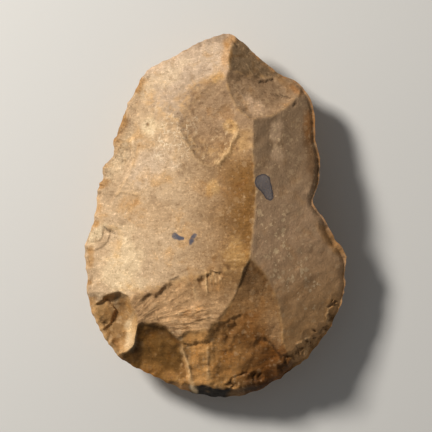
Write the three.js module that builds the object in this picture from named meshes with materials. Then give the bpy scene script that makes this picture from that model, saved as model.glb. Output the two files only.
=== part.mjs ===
// Stone hand axe: one flaked flint core, lying on its plainer face with the tip towards +Y.
// Both faces are sets of shallow scars that meet in ridges and run out to a wavy working margin.

import * as THREE from 'three';

// Driving dimensions, in millimetres
const LENGTH = 130;
const WIDTH = 93.5;
const MARGIN_HEIGHT = 16; // the margin's plane above the table
const UPPER_BEVEL = 2; // steepest rise from the margin, in millimetres per millimetre
const LOWER_BEVEL = 1.15; // the same below the margin
const KEEN_SLOPE = 0.12; // least rise from the margin, so that the edge never folds over

// How finely the stone is faceted
const FACET = 3.3; // length of a facet along the margin
const UPPER_RINGS = 20;
const LOWER_RINGS = 9;
const RING_CROWDING = 1.35; // over 1 draws the rings together towards the margin
const LEAST_GAP = 0.3; // smallest step between two rings, as a share of the even step

// The margin from above, clockwise from the tip: x, y and rise above the margin's plane
const MARGIN = {
  tip: [[4.5, 64.5, 0], [9, 62, 0], [16.5, 55, 0]],
  shoulder: [[24, 49.5, 0.5], [28.5, 47.5, 0.5], [33, 42.5, 0.5], [35, 36.5, 0.9], [35.5, 26.5, 2.8]],
  waist: [[37, 19, 3.7], [36.5, 12, 5.5], [34.5, 4, 8.2], [38, -1, 6.3], [42, -8, 3.9]],
  hip: [[46.5, -14.5, 1.3], [46, -19, 0.9], [46, -26, 0.4], [43.5, -35.5, 0.5], [38, -45, 2.2]],
  heel: [[31, -52.5, 4.4], [19, -61, 0]],
  butt: [[9, -65, -4], [-1, -65.5, -6], [-10, -63.5, -4.5], [-16, -60.8, -1], [-22.5, -57.5, 0]],
  corner: [[-33.5, -51.5, 0.5], [-39.5, -44, 0.5], [-45, -32, 0.5]],
  flank: [[-46, -21.5, 0.5], [-46.5, -10.5, 0], [-43.5, -2.5, 0], [-42, 8.5, 0], [-40, 16.5, 0]],
  cheek: [[-37, 24, 0], [-35, 31.5, 0], [-30, 42.5, 0]],
  temple: [[-25.5, 50.5, 0], [-14, 57, 0], [-4.5, 62, 0]],
};

// Poles that the facets fan out from: one on the main ridge, one on the flat below.
// Every point of the margin can be seen from both.
const UPPER_POLE = [14, 1];
const LOWER_POLE = [0, -2];

// Points where the upper scars meet: x, y and height above the margin's plane
const UPPER_JUNCTIONS = {
  tip: [7.6, 63, 0.5],
  brow: [4, 51, 9.5],
  crest: [8, 33, 14.8],
  knee: [12.5, 24.5, 17.4],
  bulge: [14.5, 5.5, 20.4],
  fork: [12, -15, 22],
  left_toe: [1.5, -38.5, 15.3],
  right_toe: [23, -33, 14.8],
  ear: [24, 49, 1.6],
  shoulder: [30.5, 43.5, 2.2],
  nape: [35, 35.5, 1.3],
  hip: [45.5, -18.5, 2.8],
  heel: [31.5, -51.5, 6.2],
  cheek: [-12.5, 26.5, 9.4],
  temple: [-26.5, 46.5, 1.6],
  snout: [-14, 56, 1.5],
  flank: [-44.5, -7.5, 2.2],
  step_left: [-28, -33.5, 9],
  step_right: [2, -19, 19.6],
  corner_in: [-30, -29.5, 9],
  corner_out: [-42, -30.5, 5.2],
  corner_foot: [-31, -49, 3],
  butt_a: [-28.5, -39, 8.8],
  butt_b: [-12.5, -44, 10.6],
  butt_c: [-2, -45, 11.2],
  butt_d: [9.5, -42.5, 13.6],
  butt_e: [23.5, -51.5, 8.5],
  foot_a: [-21, -59, -0.6],
  foot_b: [-8, -62.5, 0.6],
  foot_c: [4, -64, 0.6],
  foot_d: [17.5, -61, 2.2],
};

// Each upper scar: the three junctions that its floor passes through, and its hollow at their centre
const UPPER_SCARS = {
  left_face: { corners: ['flank', 'temple', 'fork'], hollow: -0.2 },
  right_upper: { corners: ['knee', 'bulge', 'nape'], hollow: 0.2 },
  right_middle: { corners: ['bulge', 'fork', 'hip'], hollow: 0.2 },
  right_lower: { corners: ['right_toe', 'hip', 'heel'], hollow: 0.4 },
  brow: { corners: ['brow', 'cheek', 'temple'], hollow: 0.2 },
  snout: { corners: ['tip', 'brow', 'snout'], hollow: 0.2 },
  bowl: { corners: ['brow', 'cheek', 'knee'], hollow: 1.3 },
  tip: { corners: ['tip', 'brow', 'ear'], hollow: 1.6 },
  shoulder: { corners: ['brow', 'crest', 'shoulder'], hollow: 2 },
  triangle: { corners: ['fork', 'left_toe', 'right_toe'], hollow: 0.9 },
  step: { corners: ['step_left', 'step_right', 'left_toe'], hollow: 0.6 },
  corner: { corners: ['corner_in', 'corner_out', 'corner_foot'], hollow: 3 },
  butt_left: { corners: ['butt_a', 'butt_b', 'foot_a'], hollow: 2.6 },
  butt_strip: { corners: ['butt_b', 'butt_c', 'foot_b'], hollow: 0.6 },
  butt_middle: { corners: ['butt_c', 'butt_d', 'foot_c'], hollow: 0.9 },
  butt_right: { corners: ['butt_d', 'butt_e', 'foot_d'], hollow: 0.9 },
};

// Points where the lower scars meet: x, y and depth below the margin's plane.
// The rest points stand on the table and bound the flat that the stone lies on.
const LOWER_JUNCTIONS = {
  rest_north: [-13, 24, MARGIN_HEIGHT],
  rest_east: [11, 28, MARGIN_HEIGHT],
  rest_waist: [17, -4, MARGIN_HEIGHT],
  rest_south: [7, -33, MARGIN_HEIGHT],
  rest_west: [-22, -18, MARGIN_HEIGHT],
  tip: [4, 60, 2.5],
  temple: [-28, 43, 1.6],
  shoulder: [32, 41, 1.6],
  hip: [44, -20, 2],
  heel: [31, -50, 1],
  foot: [-5, -62, 3.5],
  corner: [-36, -46, 2],
  flank: [-44, -6, 2],
};

const LOWER_SCARS = {
  tip: { corners: ['rest_north', 'rest_east', 'tip'], hollow: 0.9 },
  temple: { corners: ['rest_north', 'temple', 'flank'], hollow: 0.6 },
  shoulder: { corners: ['rest_east', 'rest_waist', 'shoulder'], hollow: 0.8 },
  hip: { corners: ['rest_waist', 'rest_south', 'hip'], hollow: 0.7 },
  heel: { corners: ['rest_south', 'hip', 'heel'], hollow: 0.6 },
  foot: { corners: ['rest_south', 'rest_west', 'foot'], hollow: 1.1 },
  corner: { corners: ['rest_west', 'corner', 'flank'], hollow: 0.8 },
};

/** The margin's closed curve as points with the rise in z, keeping every measured point. */
function marginCurve() {
  const points = Object.values(MARGIN).flat().map(([x, y, rise]) => new THREE.Vector3(x, y, rise));
  const curve = new THREE.CatmullRomCurve3(points, true, 'centripetal');
  return points.flatMap((point, index) => {
    const next = points[(index + 1) % points.length];
    const pieces = Math.max(1, Math.round(point.distanceTo(next) / FACET));
    return Array.from({ length: pieces }, (_, piece) => curve.getPoint((index + piece / pieces) / points.length));
  });
}

const curvePoints = marginCurve();
const curveBox = new THREE.Box3().setFromPoints(curvePoints);
const curveSize = curveBox.getSize(new THREE.Vector3());
const curveCentre = curveBox.getCenter(new THREE.Vector3());

/** A measured point brought to the driving length and width, about the middle of the margin's box. */
function fitted([x, y, z = 0]) {
  return new THREE.Vector3(
    ((x - curveCentre.x) * WIDTH) / curveSize.x,
    ((y - curveCentre.y) * LENGTH) / curveSize.y,
    z,
  );
}

const margin = curvePoints.map((point) => fitted(point.toArray()));

/** Distance from (x, y) to the margin, and the margin's rise at the nearest place. */
function nearestMargin(x, y) {
  let best = { distance: Infinity, rise: 0 };
  margin.forEach((start, ray) => {
    const end = margin[(ray + 1) % margin.length];
    const [dx, dy] = [end.x - start.x, end.y - start.y];
    const along = ((x - start.x) * dx + (y - start.y) * dy) / (dx * dx + dy * dy);
    const share = THREE.MathUtils.clamp(along, 0, 1);
    const distance = Math.hypot(x - start.x - share * dx, y - start.y - share * dy);
    if (distance < best.distance) {
      best = { distance, rise: THREE.MathUtils.lerp(start.z, end.z, share) };
    }
  });
  return best;
}

/** Floor of one scar: the plane through its corners, sunk by the hollow at their centre. */
function scarFloor({ corners, hollow }, junctions) {
  const [a, b, c] = corners.map((name) => fitted(junctions[name]));
  const area = (a.x - c.x) * (b.y - c.y) - (b.x - c.x) * (a.y - c.y);
  return (x, y) => {
    const wa = ((x - c.x) * (b.y - c.y) - (b.x - c.x) * (y - c.y)) / area;
    const wb = ((a.x - c.x) * (y - c.y) - (x - c.x) * (a.y - c.y)) / area;
    const wc = 1 - wa - wb;
    const dish = 3 * hollow * (wa * wb + wb * wc + wc * wa);
    return wa * a.z + wb * b.z + wc * c.z - dish;
  };
}

/** One face of the stone: at (x, y) the lowest floor wins. Gives its height and which floor it is. */
function faceSurface(floors, marginSign, bevel) {
  return (x, y) => {
    const { distance, rise } = nearestMargin(x, y);
    const edge = marginSign * rise;
    const heights = floors.map((floor) => floor(x, y));
    heights.push(edge + bevel * distance);
    const lowest = Math.min(...heights);
    return { height: Math.max(lowest, edge + KEEN_SLOPE * distance), floor: heights.indexOf(lowest) };
  };
}

const upperFloors = Object.values(UPPER_SCARS).map((scar) => scarFloor(scar, UPPER_JUNCTIONS));
const lowerFloors = Object.values(LOWER_SCARS).map((scar) => scarFloor(scar, LOWER_JUNCTIONS));
lowerFloors.push(() => MARGIN_HEIGHT); // the flat that the stone lies on
const upperSurface = faceSurface(upperFloors, 1, UPPER_BEVEL);
const lowerSurface = faceSurface(lowerFloors, -1, LOWER_BEVEL);

/** The place a share of the way from the pole to one ray's end on the margin. */
function alongRay(pole, ray, share) {
  return [
    THREE.MathUtils.lerp(pole.x, margin[ray].x, share),
    THREE.MathUtils.lerp(pole.y, margin[ray].y, share),
  ];
}

/** Shares along one ray, with the ring nearest to each ridge moved onto it so that ridges stay crisp. */
function ringShares(pole, ray, rings, surface) {
  const shares = Array.from({ length: rings + 1 }, (_, ring) => 1 - (1 - ring / rings) ** RING_CROWDING);
  const floors = shares.map((share) => surface(...alongRay(pole, ray, share)).floor);
  for (let ring = 0; ring < rings; ring += 1) {
    if (floors[ring] === floors[ring + 1]) continue;
    let [low, high] = [shares[ring], shares[ring + 1]];
    for (let step = 0; step < 12; step += 1) {
      const middle = (low + high) / 2;
      if (surface(...alongRay(pole, ray, middle)).floor === floors[ring]) low = middle;
      else high = middle;
    }
    const moved = low - shares[ring] < shares[ring + 1] - low ? ring : ring + 1;
    if (moved === 0 || moved === rings) continue;
    const gap = Math.min(low - shares[moved - 1], shares[moved + 1] - low);
    if (gap * rings > LEAST_GAP) shares[moved] = low;
  }
  return shares;
}

const positions = [];
const triangles = [];

/** Adds a vertex and gives its number. */
function addVertex(x, y, z) {
  positions.push(x, y, z);
  return positions.length / 3 - 1;
}

const marginVertices = margin.map((point) => addVertex(point.x, point.y, MARGIN_HEIGHT + point.z));

/** Adds one face of the stone: fans at the pole, then quads split along the diagonal nearer to the surface. */
function addFace(surface, pole, rings, up) {
  const level = (x, y) => MARGIN_HEIGHT + up * surface(x, y).height;
  const centre = addVertex(pole.x, pole.y, level(pole.x, pole.y));
  const columns = margin.map((_, ray) => {
    const shares = ringShares(pole, ray, rings, surface).slice(1, rings);
    const inner = shares.map((share) => {
      const [x, y] = alongRay(pole, ray, share);
      return addVertex(x, y, level(x, y));
    });
    return [centre, ...inner, marginVertices[ray]];
  });
  const addTriangle = (a, b, c) => triangles.push(...(up > 0 ? [a, b, c] : [a, c, b]));
  const at = (vertex) => new THREE.Vector3().fromArray(positions, vertex * 3);
  const misfit = (a, b) => {
    const middle = at(a).add(at(b)).multiplyScalar(0.5);
    return Math.abs(middle.z - level(middle.x, middle.y));
  };
  columns.forEach((left, ray) => {
    const right = columns[(ray + 1) % margin.length];
    addTriangle(centre, right[1], left[1]);
    for (let ring = 1; ring < rings; ring += 1) {
      const [a, b, c, d] = [left[ring], right[ring], right[ring + 1], left[ring + 1]];
      if (misfit(a, c) < misfit(b, d)) {
        addTriangle(a, b, c);
        addTriangle(a, c, d);
      } else {
        addTriangle(a, b, d);
        addTriangle(b, c, d);
      }
    }
  });
}

addFace(upperSurface, fitted(UPPER_POLE), UPPER_RINGS, 1);
addFace(lowerSurface, fitted(LOWER_POLE), LOWER_RINGS, -1);

const geometry = new THREE.BufferGeometry();
geometry.setAttribute('position', new THREE.Float32BufferAttribute(positions, 3));
geometry.setIndex(triangles);
geometry.computeVertexNormals();

const flint = new THREE.MeshStandardMaterial({ color: 0xa5855e, roughness: 0.72, metalness: 0, flatShading: true });
const handAxe = new THREE.Mesh(geometry, flint);
handAxe.name = 'hand_axe';

const part = new THREE.Group();
part.add(handAxe);

export default part;
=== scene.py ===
# %% [markdown]
# # A flaked flint hand axe
#
# The object is one stone, struck all round until two faces met in a sharp, wavy margin. Everything that
# can be seen on it is either a scar, which is the hollow that one flake left, or what time did to the scars
# afterwards: worn ridges, small chips, brown staining and a little ink.
#
# The solid model already holds the outline and the main scars. This lesson makes the same stone again on a
# fine grid, from the same few named points, and then adds the small relief and the colours. Lengths are in
# millimetres until the mesh is made, because Blender's own unit is the metre.

import math

import bpy
import numpy as np
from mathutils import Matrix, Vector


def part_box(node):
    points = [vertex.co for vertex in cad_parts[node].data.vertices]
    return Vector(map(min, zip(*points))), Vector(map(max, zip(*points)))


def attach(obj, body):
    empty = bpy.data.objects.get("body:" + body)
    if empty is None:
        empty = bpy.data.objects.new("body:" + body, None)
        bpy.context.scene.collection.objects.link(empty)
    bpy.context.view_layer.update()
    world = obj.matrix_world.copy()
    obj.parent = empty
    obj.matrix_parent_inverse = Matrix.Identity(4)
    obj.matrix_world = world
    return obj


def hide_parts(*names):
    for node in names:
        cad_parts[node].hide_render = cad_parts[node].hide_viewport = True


MILLIMETRE = 0.001

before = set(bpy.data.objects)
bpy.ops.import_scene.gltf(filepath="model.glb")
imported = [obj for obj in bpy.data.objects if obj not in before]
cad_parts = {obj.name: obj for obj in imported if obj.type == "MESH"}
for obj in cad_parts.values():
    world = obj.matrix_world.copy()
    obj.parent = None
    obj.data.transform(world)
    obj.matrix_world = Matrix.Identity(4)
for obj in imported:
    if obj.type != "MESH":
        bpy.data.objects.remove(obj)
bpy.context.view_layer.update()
stone_low, stone_high = (np.array(corner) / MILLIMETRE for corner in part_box("hand_axe"))
stone_size = stone_high - stone_low
print("solid stone, mm:", stone_size.round(1))

# %% [markdown]
# ## The margin
#
# The margin is the line where the two faces meet, and it is the outline in the view from above. It could be
# drawn as a curve object, but the faces have to end exactly on it, so it is worked out as an array: a closed
# spline through a few measured points. Each point is x, y and how far the margin rises above its own plane.

# %% Measured points of the margin, clockwise from the tip
MARGIN_HEIGHT = 16.0
MARGIN = {
    "tip": [(4.5, 64.5, 0), (9, 62, 0), (16.5, 55, 0)],
    "shoulder": [(24, 49.5, 0.5), (28.5, 47.5, 0.5), (33, 42.5, 0.5), (35, 36.5, 0.9), (35.5, 26.5, 2.8)],
    "waist": [(37, 19, 3.7), (36.5, 12, 5.5), (34.5, 4, 8.2), (38, -1, 6.3), (42, -8, 3.9)],
    "hip": [(46.5, -14.5, 1.3), (46, -19, 0.9), (46, -26, 0.4), (43.5, -35.5, 0.5), (38, -45, 2.2)],
    "heel": [(31, -52.5, 4.4), (19, -61, 0)],
    "butt": [(9, -65, -4), (-1, -65.5, -6), (-10, -63.5, -4.5), (-16, -60.8, -1), (-22.5, -57.5, 0)],
    "corner": [(-33.5, -51.5, 0.5), (-39.5, -44, 0.5), (-45, -32, 0.5)],
    "flank": [(-46, -21.5, 0.5), (-46.5, -10.5, 0), (-43.5, -2.5, 0), (-42, 8.5, 0), (-40, 16.5, 0)],
    "cheek": [(-37, 24, 0), (-35, 31.5, 0), (-30, 42.5, 0)],
    "temple": [(-25.5, 50.5, 0), (-14, 57, 0), (-4.5, 62, 0)],
}
measured = np.array([point for stretch in MARGIN.values() for point in stretch], float)
print(len(measured), "measured points in", len(MARGIN), "stretches")

# %% [markdown]
# ### From points to a line
#
# A curve object could draw the line, but it would have to be turned into points again. Two short functions do
# the same on arrays: a cubic through all the points, and a walk along it in even steps.

# %% A closed spline, and even steps along it
SPLINE_STEPS = 40


def closed_spline(points, steps):
    """Cubic through every point, with knots spaced by the square root of the distance between points.

    Each span is a Hermite cubic whose end slopes come from its neighbours' spacing.
    """
    before, start, end, after = (np.roll(points, shift, 0)[:, None] for shift in (1, 0, -1, -2))
    gap = [np.sqrt(np.linalg.norm(b - a, axis=2, keepdims=True))
           for a, b in ((before, start), (start, end), (end, after))]
    slope_in = (start - before) / gap[0] - (end - before) / (gap[0] + gap[1]) + (end - start) / gap[1]
    slope_out = (end - start) / gap[1] - (after - start) / (gap[1] + gap[2]) + (after - end) / gap[2]
    slope_in, slope_out = slope_in * gap[1], slope_out * gap[1]
    t = (np.arange(steps) / steps)[None, :, None]
    square = -3 * start + 3 * end - 2 * slope_in - slope_out
    cube = 2 * start - 2 * end + slope_in + slope_out
    return (start + slope_in * t + square * t**2 + cube * t**3).reshape(-1, points.shape[1])


def walk_round(loop, count):
    """Points at even distances along a closed loop, and the loop's length."""
    closed = np.vstack([loop, loop[:1]])
    travelled = np.concatenate([[0], np.cumsum(np.linalg.norm(np.diff(closed[:, :2], axis=0), axis=1))])
    places = np.arange(count) / count * travelled[-1]
    return np.stack([np.interp(places, travelled, column) for column in closed.T], 1), travelled[-1]


curve = closed_spline(measured, SPLINE_STEPS)
print("spline through them:", len(curve), "points")

# %% [markdown]
# ### Fitted to the solid
#
# The fine stone has to lie exactly where the solid lies. So every measured place, here and later, is moved
# and stretched by the small amounts that make the margin fill the solid's own box.

# %% Fit measured places to the solid's box
curve_low, curve_high = curve[:, :2].min(0), curve[:, :2].max(0)
curve_middle = (curve_low + curve_high) / 2
fit = stone_size[:2] / (curve_high - curve_low)


def fitted(points):
    """Measured points moved and stretched so that the margin fills the solid's box."""
    points = np.array(points, float)
    points[..., :2] = (points[..., :2] - curve_middle) * fit
    return points


print("margin stretched by", fit.round(4), "about", curve_middle.round(2))

# %% [markdown]
# ## Repeatable unevenness
#
# Stone is never quite even. Blender's noise textures live in node trees, so arrays need noise of their own. A
# lattice of random heights with smooth steps between them is enough, and a fixed seed gives the same stone on
# every run.

# %% Smooth noise on a lattice
LATTICE = 64
KEEP_POSITIVE = 1000


def lattice_noise(x, y, cell, seed):
    """Random heights from -1 to 1 on a square lattice of this cell size, eased between the corners."""
    heights = np.random.default_rng(seed).uniform(-1, 1, (LATTICE, LATTICE))
    u, v = x / cell + KEEP_POSITIVE, y / cell + KEEP_POSITIVE
    i, j = np.floor(u).astype(int), np.floor(v).astype(int)
    u, v = u - i, v - j
    u, v = u * u * (3 - 2 * u), v * v * (3 - 2 * v)

    def corner(across, up):
        return heights[(i + across) % LATTICE, (j + up) % LATTICE]

    near = corner(0, 0) * (1 - u) + corner(1, 0) * u
    far = corner(0, 1) * (1 - u) + corner(1, 1) * u
    return near * (1 - v) + far * v


def uneven(rows, x, y):
    """Several noises added up: each row holds the height, the cell size and the seed of one of them."""
    return sum(height * lattice_noise(x, y, cell, seed) for height, cell, seed in rows)


def eased(value, low, high):
    """0 below low, 1 above high, and a smooth step between them."""
    share = np.clip((value - low) / (high - low), 0, 1)
    return share * share * (3 - 2 * share)


print("noise repeats after", LATTICE, "cells")

# %% [markdown]
# ## Nicks in the margin
#
# Small flakes have come off the edge in use and since. Each one leaves a shallow bite in the outline and a
# little bowl on the face. They could be cut with booleans, but a bite is only a few grid steps wide, so the
# same list of chips moves the outline here and lowers the face later.

# %% Scatter chips along the margin
GRID = 272
MARGIN_POINTS = 4 * GRID

# Stretch of the margin: first point, last point, spacing of the chips, half width and depth in mm, and the
# share of the half width that a chip bites into the outline
EDGE_WORK = {
    "tip_left": ((-25.5, 50.5), (4.5, 64.5), 2.8, 1.3, 0.25, 0.14),
    "tip_right": ((4.5, 64.5), (28.5, 47.5), 6.0, 1.4, 0.18, 0.1),
    "right_side": ((28.5, 47.5), (42, -8), 7.0, 1.2, 0.2, 0.12),
    "hip": ((42, -8), (43.5, -35.5), 4.5, 1.3, 0.15, 0.2),
    "heel": ((43.5, -35.5), (19, -61), 4.4, 2.4, 0.7, 0.2),
    "butt": ((19, -61), (-22.5, -57.5), 5.5, 1.8, 0.35, 0.16),
    "corner": ((-22.5, -57.5), (-45, -32), 3.2, 1.3, 0.35, 0.2),
    "flank": ((-45, -32), (-42, 8.5), 4.0, 2.4, 0.7, 0.16),
    "cheek": ((-42, 8.5), (-25.5, 50.5), 3.0, 1.6, 0.9, 0.3),
    "cheek_wide": ((-42, 8.5), (-25.5, 50.5), 8.0, 3.6, 1.1, 0.16),
}
# How far a chip's size, length and lean vary
CHIP_SIZES = (0.5, 1.6)
CHIP_LENGTHS = (1.1, 2.6)
CHIP_LEANS = (-0.5, 0.5)
plain_margin, margin_length = walk_round(fitted(curve), MARGIN_POINTS)
draw = np.random.default_rng(41)


def margin_place(point):
    """Number of the margin point that lies nearest to a measured place."""
    return int(np.argmin(np.linalg.norm(plain_margin[:, :2] - fitted(point), axis=1)))


def scatter_chips(first, last, spacing, width, depth, bite_share):
    """Chips along one stretch, each varied at random.

    A row holds the place along the margin, half width, depth, length in half widths, lean in radians
    and bite.
    """
    start, end = margin_place(first), margin_place(last)
    reach = (end - start) % MARGIN_POINTS * margin_length / MARGIN_POINTS
    count = max(2, round(reach / spacing))
    along = (np.arange(count) + draw.uniform(0.1, 0.9, count)) / count * reach
    place = start * margin_length / MARGIN_POINTS + along
    vary = draw.uniform(*CHIP_SIZES, (2, count))
    half_width = width * vary[0]
    reach_in = draw.uniform(*CHIP_LENGTHS, count)
    lean = draw.uniform(*CHIP_LEANS, count)
    columns = [place % margin_length, half_width, depth * vary[1], reach_in, lean, bite_share * half_width]
    return np.stack(columns, 1)


chips = np.vstack([scatter_chips(*stretch) for stretch in EDGE_WORK.values()])
print(len(chips), "edge chips along", round(margin_length), "mm of margin")

# %% [markdown]
# ### The bitten outline
#
# Most chips may lie anywhere along their stretch. A few notches on the left side are large enough to be seen
# one by one, so they have places of their own. All of them move the margin along its inward normal.

# %% Bite the outline
# Notches: place, half width and depth in mm, where a depth below zero is a bulge
NOTCHES = [
    ((-35.2, 29.2), 1.6, 0.3),
    ((-36.6, 26.2), 1.8, -0.6),
    ((-37.6, 21.2), 3.4, 1.0),
    ((-39.6, 16.6), 2.4, -0.8),
    ((-40.4, 12.8), 1.8, 0.5),
]
travelled = np.arange(MARGIN_POINTS) * margin_length / MARGIN_POINTS
apart = np.abs(travelled[:, None] - chips[None, :, 0])
apart = np.minimum(apart, margin_length - apart) / chips[None, :, 1]
bite = (chips[None, :, 5] * np.clip(1 - apart**2, 0, None)).max(1)
for spot, half_width, depth in NOTCHES:
    gap = np.abs(travelled - travelled[margin_place(spot)])
    bite += depth * np.clip(1 - (gap / half_width) ** 2, 0, None)
ahead = np.roll(plain_margin, -2, 0) - np.roll(plain_margin, 2, 0)
inward = np.stack([ahead[:, 1], -ahead[:, 0]], 1) / np.linalg.norm(ahead[:, :2], axis=1, keepdims=True)
margin = plain_margin.copy()
margin[:, :2] += inward * bite[:, None]
print("deepest bite", bite.max().round(2), "mm")

# %% [markdown]
# ## The main scars
#
# A flake comes off along a gently dished surface, and the stone keeps the lowest of all those surfaces. So
# each scar is a plane through three named junctions, sunk a little at their middle, and the face is the
# smooth minimum of all the scars. Where two of them cross there is a ridge, and no ridge has to be drawn.

# %% Junctions of the upper face: x, y and height above the margin's plane
UPPER_JUNCTIONS = {
    "tip": (7.6, 63, 0.5), "brow": (4, 51, 9.5), "crest": (8, 33, 14.8), "knee": (12.5, 24.5, 17.4),
    "bulge": (15.1, 5.5, 20.4), "fork": (12, -15, 22), "left_toe": (1.5, -38.5, 15.3),
    "right_toe": (23, -33, 14.8), "ear": (24, 49, 1.6), "shoulder": (30.5, 43.5, 2.2),
    "nape": (35, 35.5, 1.3), "hip": (45.5, -18.5, 2.8), "heel": (31.5, -51.5, 6.2),
    "cheek": (-12.5, 26.5, 9.4), "temple": (-26.5, 46.5, 1.6), "snout": (-14, 56, 1.5),
    "flank": (-44.5, -7.5, 2.2),
    "step_left": (-28, -33.5, 9), "step_right": (2, -19, 19.6), "corner_in": (-30, -29.5, 9),
    "corner_out": (-42, -30.5, 5.2), "corner_foot": (-31, -49, 3), "butt_a": (-28.5, -39, 8.8),
    "butt_b": (-12.5, -44, 10.6), "butt_c": (-2, -45, 11.2), "butt_d": (9.5, -42.5, 13.6),
    "butt_e": (23.5, -51.5, 8.5), "foot_a": (-21, -59, -0.6), "foot_b": (-8, -62.5, 0.6),
    "foot_c": (4, -64, 0.6), "foot_d": (17.5, -61, 2.2),
}
UPPER_SCARS = {
    "left_face": (("flank", "temple", "fork"), -0.2),
    "right_upper": (("knee", "bulge", "nape"), 0.2),
    "right_middle": (("bulge", "fork", "hip"), 0.2),
    "right_lower": (("right_toe", "hip", "heel"), 0.4),
    "brow": (("brow", "cheek", "temple"), 0.2),
    "snout": (("tip", "brow", "snout"), 0.2),
    "bowl": (("brow", "cheek", "knee"), 1.3),
    "tip": (("tip", "brow", "ear"), 1.6),
    "shoulder": (("brow", "crest", "shoulder"), 2.0),
    "triangle": (("fork", "left_toe", "right_toe"), 0.9),
    "step": (("step_left", "step_right", "left_toe"), 0.6),
    "corner": (("corner_in", "corner_out", "corner_foot"), 2.2),
    "butt_left": (("butt_a", "butt_b", "foot_a"), 2.6),
    "butt_strip": (("butt_b", "butt_c", "foot_b"), 0.6),
    "butt_middle": (("butt_c", "butt_d", "foot_c"), 0.9),
    "butt_right": (("butt_d", "butt_e", "foot_d"), 0.9),
}
print(len(UPPER_SCARS), "scars between", len(UPPER_JUNCTIONS), "junctions on the upper face")

# %% [markdown]
# The lower face is struck in the same way, with fewer and larger scars around the flat that the stone lies
# on.

# %% Junctions of the lower face: x, y and depth below the margin's plane
LOWER_JUNCTIONS = {
    "rest_north": (-13, 24, MARGIN_HEIGHT), "rest_east": (11, 28, MARGIN_HEIGHT),
    "rest_waist": (17, -4, MARGIN_HEIGHT), "rest_south": (7, -33, MARGIN_HEIGHT),
    "rest_west": (-22, -18, MARGIN_HEIGHT), "tip": (4, 60, 2.5), "temple": (-28, 43, 1.6),
    "shoulder": (32, 41, 1.6), "hip": (44, -20, 2), "heel": (31, -50, 1), "foot": (-5, -62, 3.5),
    "corner": (-36, -46, 2), "flank": (-44, -6, 2),
}
LOWER_SCARS = {
    "tip": (("rest_north", "rest_east", "tip"), 0.9),
    "temple": (("rest_north", "temple", "flank"), 0.6),
    "shoulder": (("rest_east", "rest_waist", "shoulder"), 0.8),
    "hip": (("rest_waist", "rest_south", "hip"), 0.7),
    "heel": (("rest_south", "hip", "heel"), 0.6),
    "foot": (("rest_south", "rest_west", "foot"), 1.1),
    "corner": (("rest_west", "corner", "flank"), 0.8),
}
print(len(LOWER_SCARS), "scars on the lower face")

# %% [markdown]
# ### Floors and their minimum
#
# Three corner weights say where a point lies in a scar's triangle. They give the plane, and their products in
# pairs give a dish that is deepest in the middle and nothing at the corners. A plain minimum of the floors
# would leave knife-sharp ridges. Old flint is a little worn, so a smooth minimum rounds them.

# %% Floor of a scar, distance to the margin and smooth minimum
BATCHES = 80


def scar_floor(x, y, junctions, corners, hollow):
    """The plane through three corners, less three hollows times the sum of the paired corner weights."""
    a, b, c = fitted([junctions[name] for name in corners])
    area = (a[0] - c[0]) * (b[1] - c[1]) - (b[0] - c[0]) * (a[1] - c[1])
    wa = ((x - c[0]) * (b[1] - c[1]) - (b[0] - c[0]) * (y - c[1])) / area
    wb = ((a[0] - c[0]) * (y - c[1]) - (x - c[0]) * (a[1] - c[1])) / area
    wc = 1 - wa - wb
    return wa * a[2] + wb * b[2] + wc * c[2] - 3 * hollow * (wa * wb + wb * wc + wc * wa)


def nearest_margin(x, y):
    """Distance from each point to the margin, and the margin's rise at the nearest place on it."""
    distance = np.empty(len(x))
    nearest = np.empty(len(x), int)
    for rows in np.array_split(np.arange(len(x)), BATCHES):
        gap = np.hypot(x[rows, None] - margin[None, :, 0], y[rows, None] - margin[None, :, 1])
        nearest[rows] = gap.argmin(1)
        distance[rows] = gap.min(1)
    return distance, margin[nearest, 2]


def smooth_lowest(floors, blend):
    """Smooth minimum: minus blend times the log of the summed exponentials of minus floor over blend."""
    lowest = floors.min(0)
    return lowest - blend * np.log(np.exp((lowest - floors) / blend).sum(0))


# %% [markdown]
# ## The grid
#
# A polar grid crowds its points at the middle of the stone. A square grid bent into the outline spreads them
# evenly: each square ring of the grid becomes one ring of the stone, and the outermost ring is the margin.

# %% A square grid bent to the margin
UPPER_POLE = fitted((2, -9))


def square_rings(count):
    """Share of the way out and turn around the middle, for every point of a square grid."""
    line = np.linspace(-1, 1, count + 1)
    a, b = np.meshgrid(line, line, indexing="ij")
    share = np.maximum(np.abs(a), np.abs(b))
    side_turn = b / np.where(a == 0, 1, a) / 8 + np.where(a < 0, 0.5, 0)
    end_turn = 0.25 - a / np.where(b == 0, 1, b) / 8 + np.where(b < 0, 0.5, 0)
    turn = np.where(np.abs(a) >= np.abs(b), side_turn, end_turn) % 1
    return share.ravel(), turn.ravel()


def bend_to_margin(share, turn, pole):
    """Points at this share of the way from the pole to the margin, turning anticlockwise."""
    place = (1 - turn) % 1 * MARGIN_POINTS
    first = np.floor(place + 1e-6).astype(int) % MARGIN_POINTS
    part = np.clip(place - first, 0, 1)[:, None]
    rim = margin[first] * (1 - part) + margin[(first + 1) % MARGIN_POINTS] * part
    return pole + share[:, None] * (rim[:, :2] - pole)


upper_share, upper_turn = square_rings(GRID)
upper_xy = bend_to_margin(upper_share, upper_turn, UPPER_POLE)
x, y = upper_xy.T
edge_distance, edge_rise = nearest_margin(x, y)
print("upper face:", len(x), "points, widest", edge_distance.max().round(1), "mm from the margin")

# %% [markdown]
# ### Lines on the face
#
# Steps, lips, cracks and ink all follow a line. A curve object would only lie on the stone, so each line is
# turned into three numbers at every point of the grid: how far off it is, on which side, and how far along.


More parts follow.
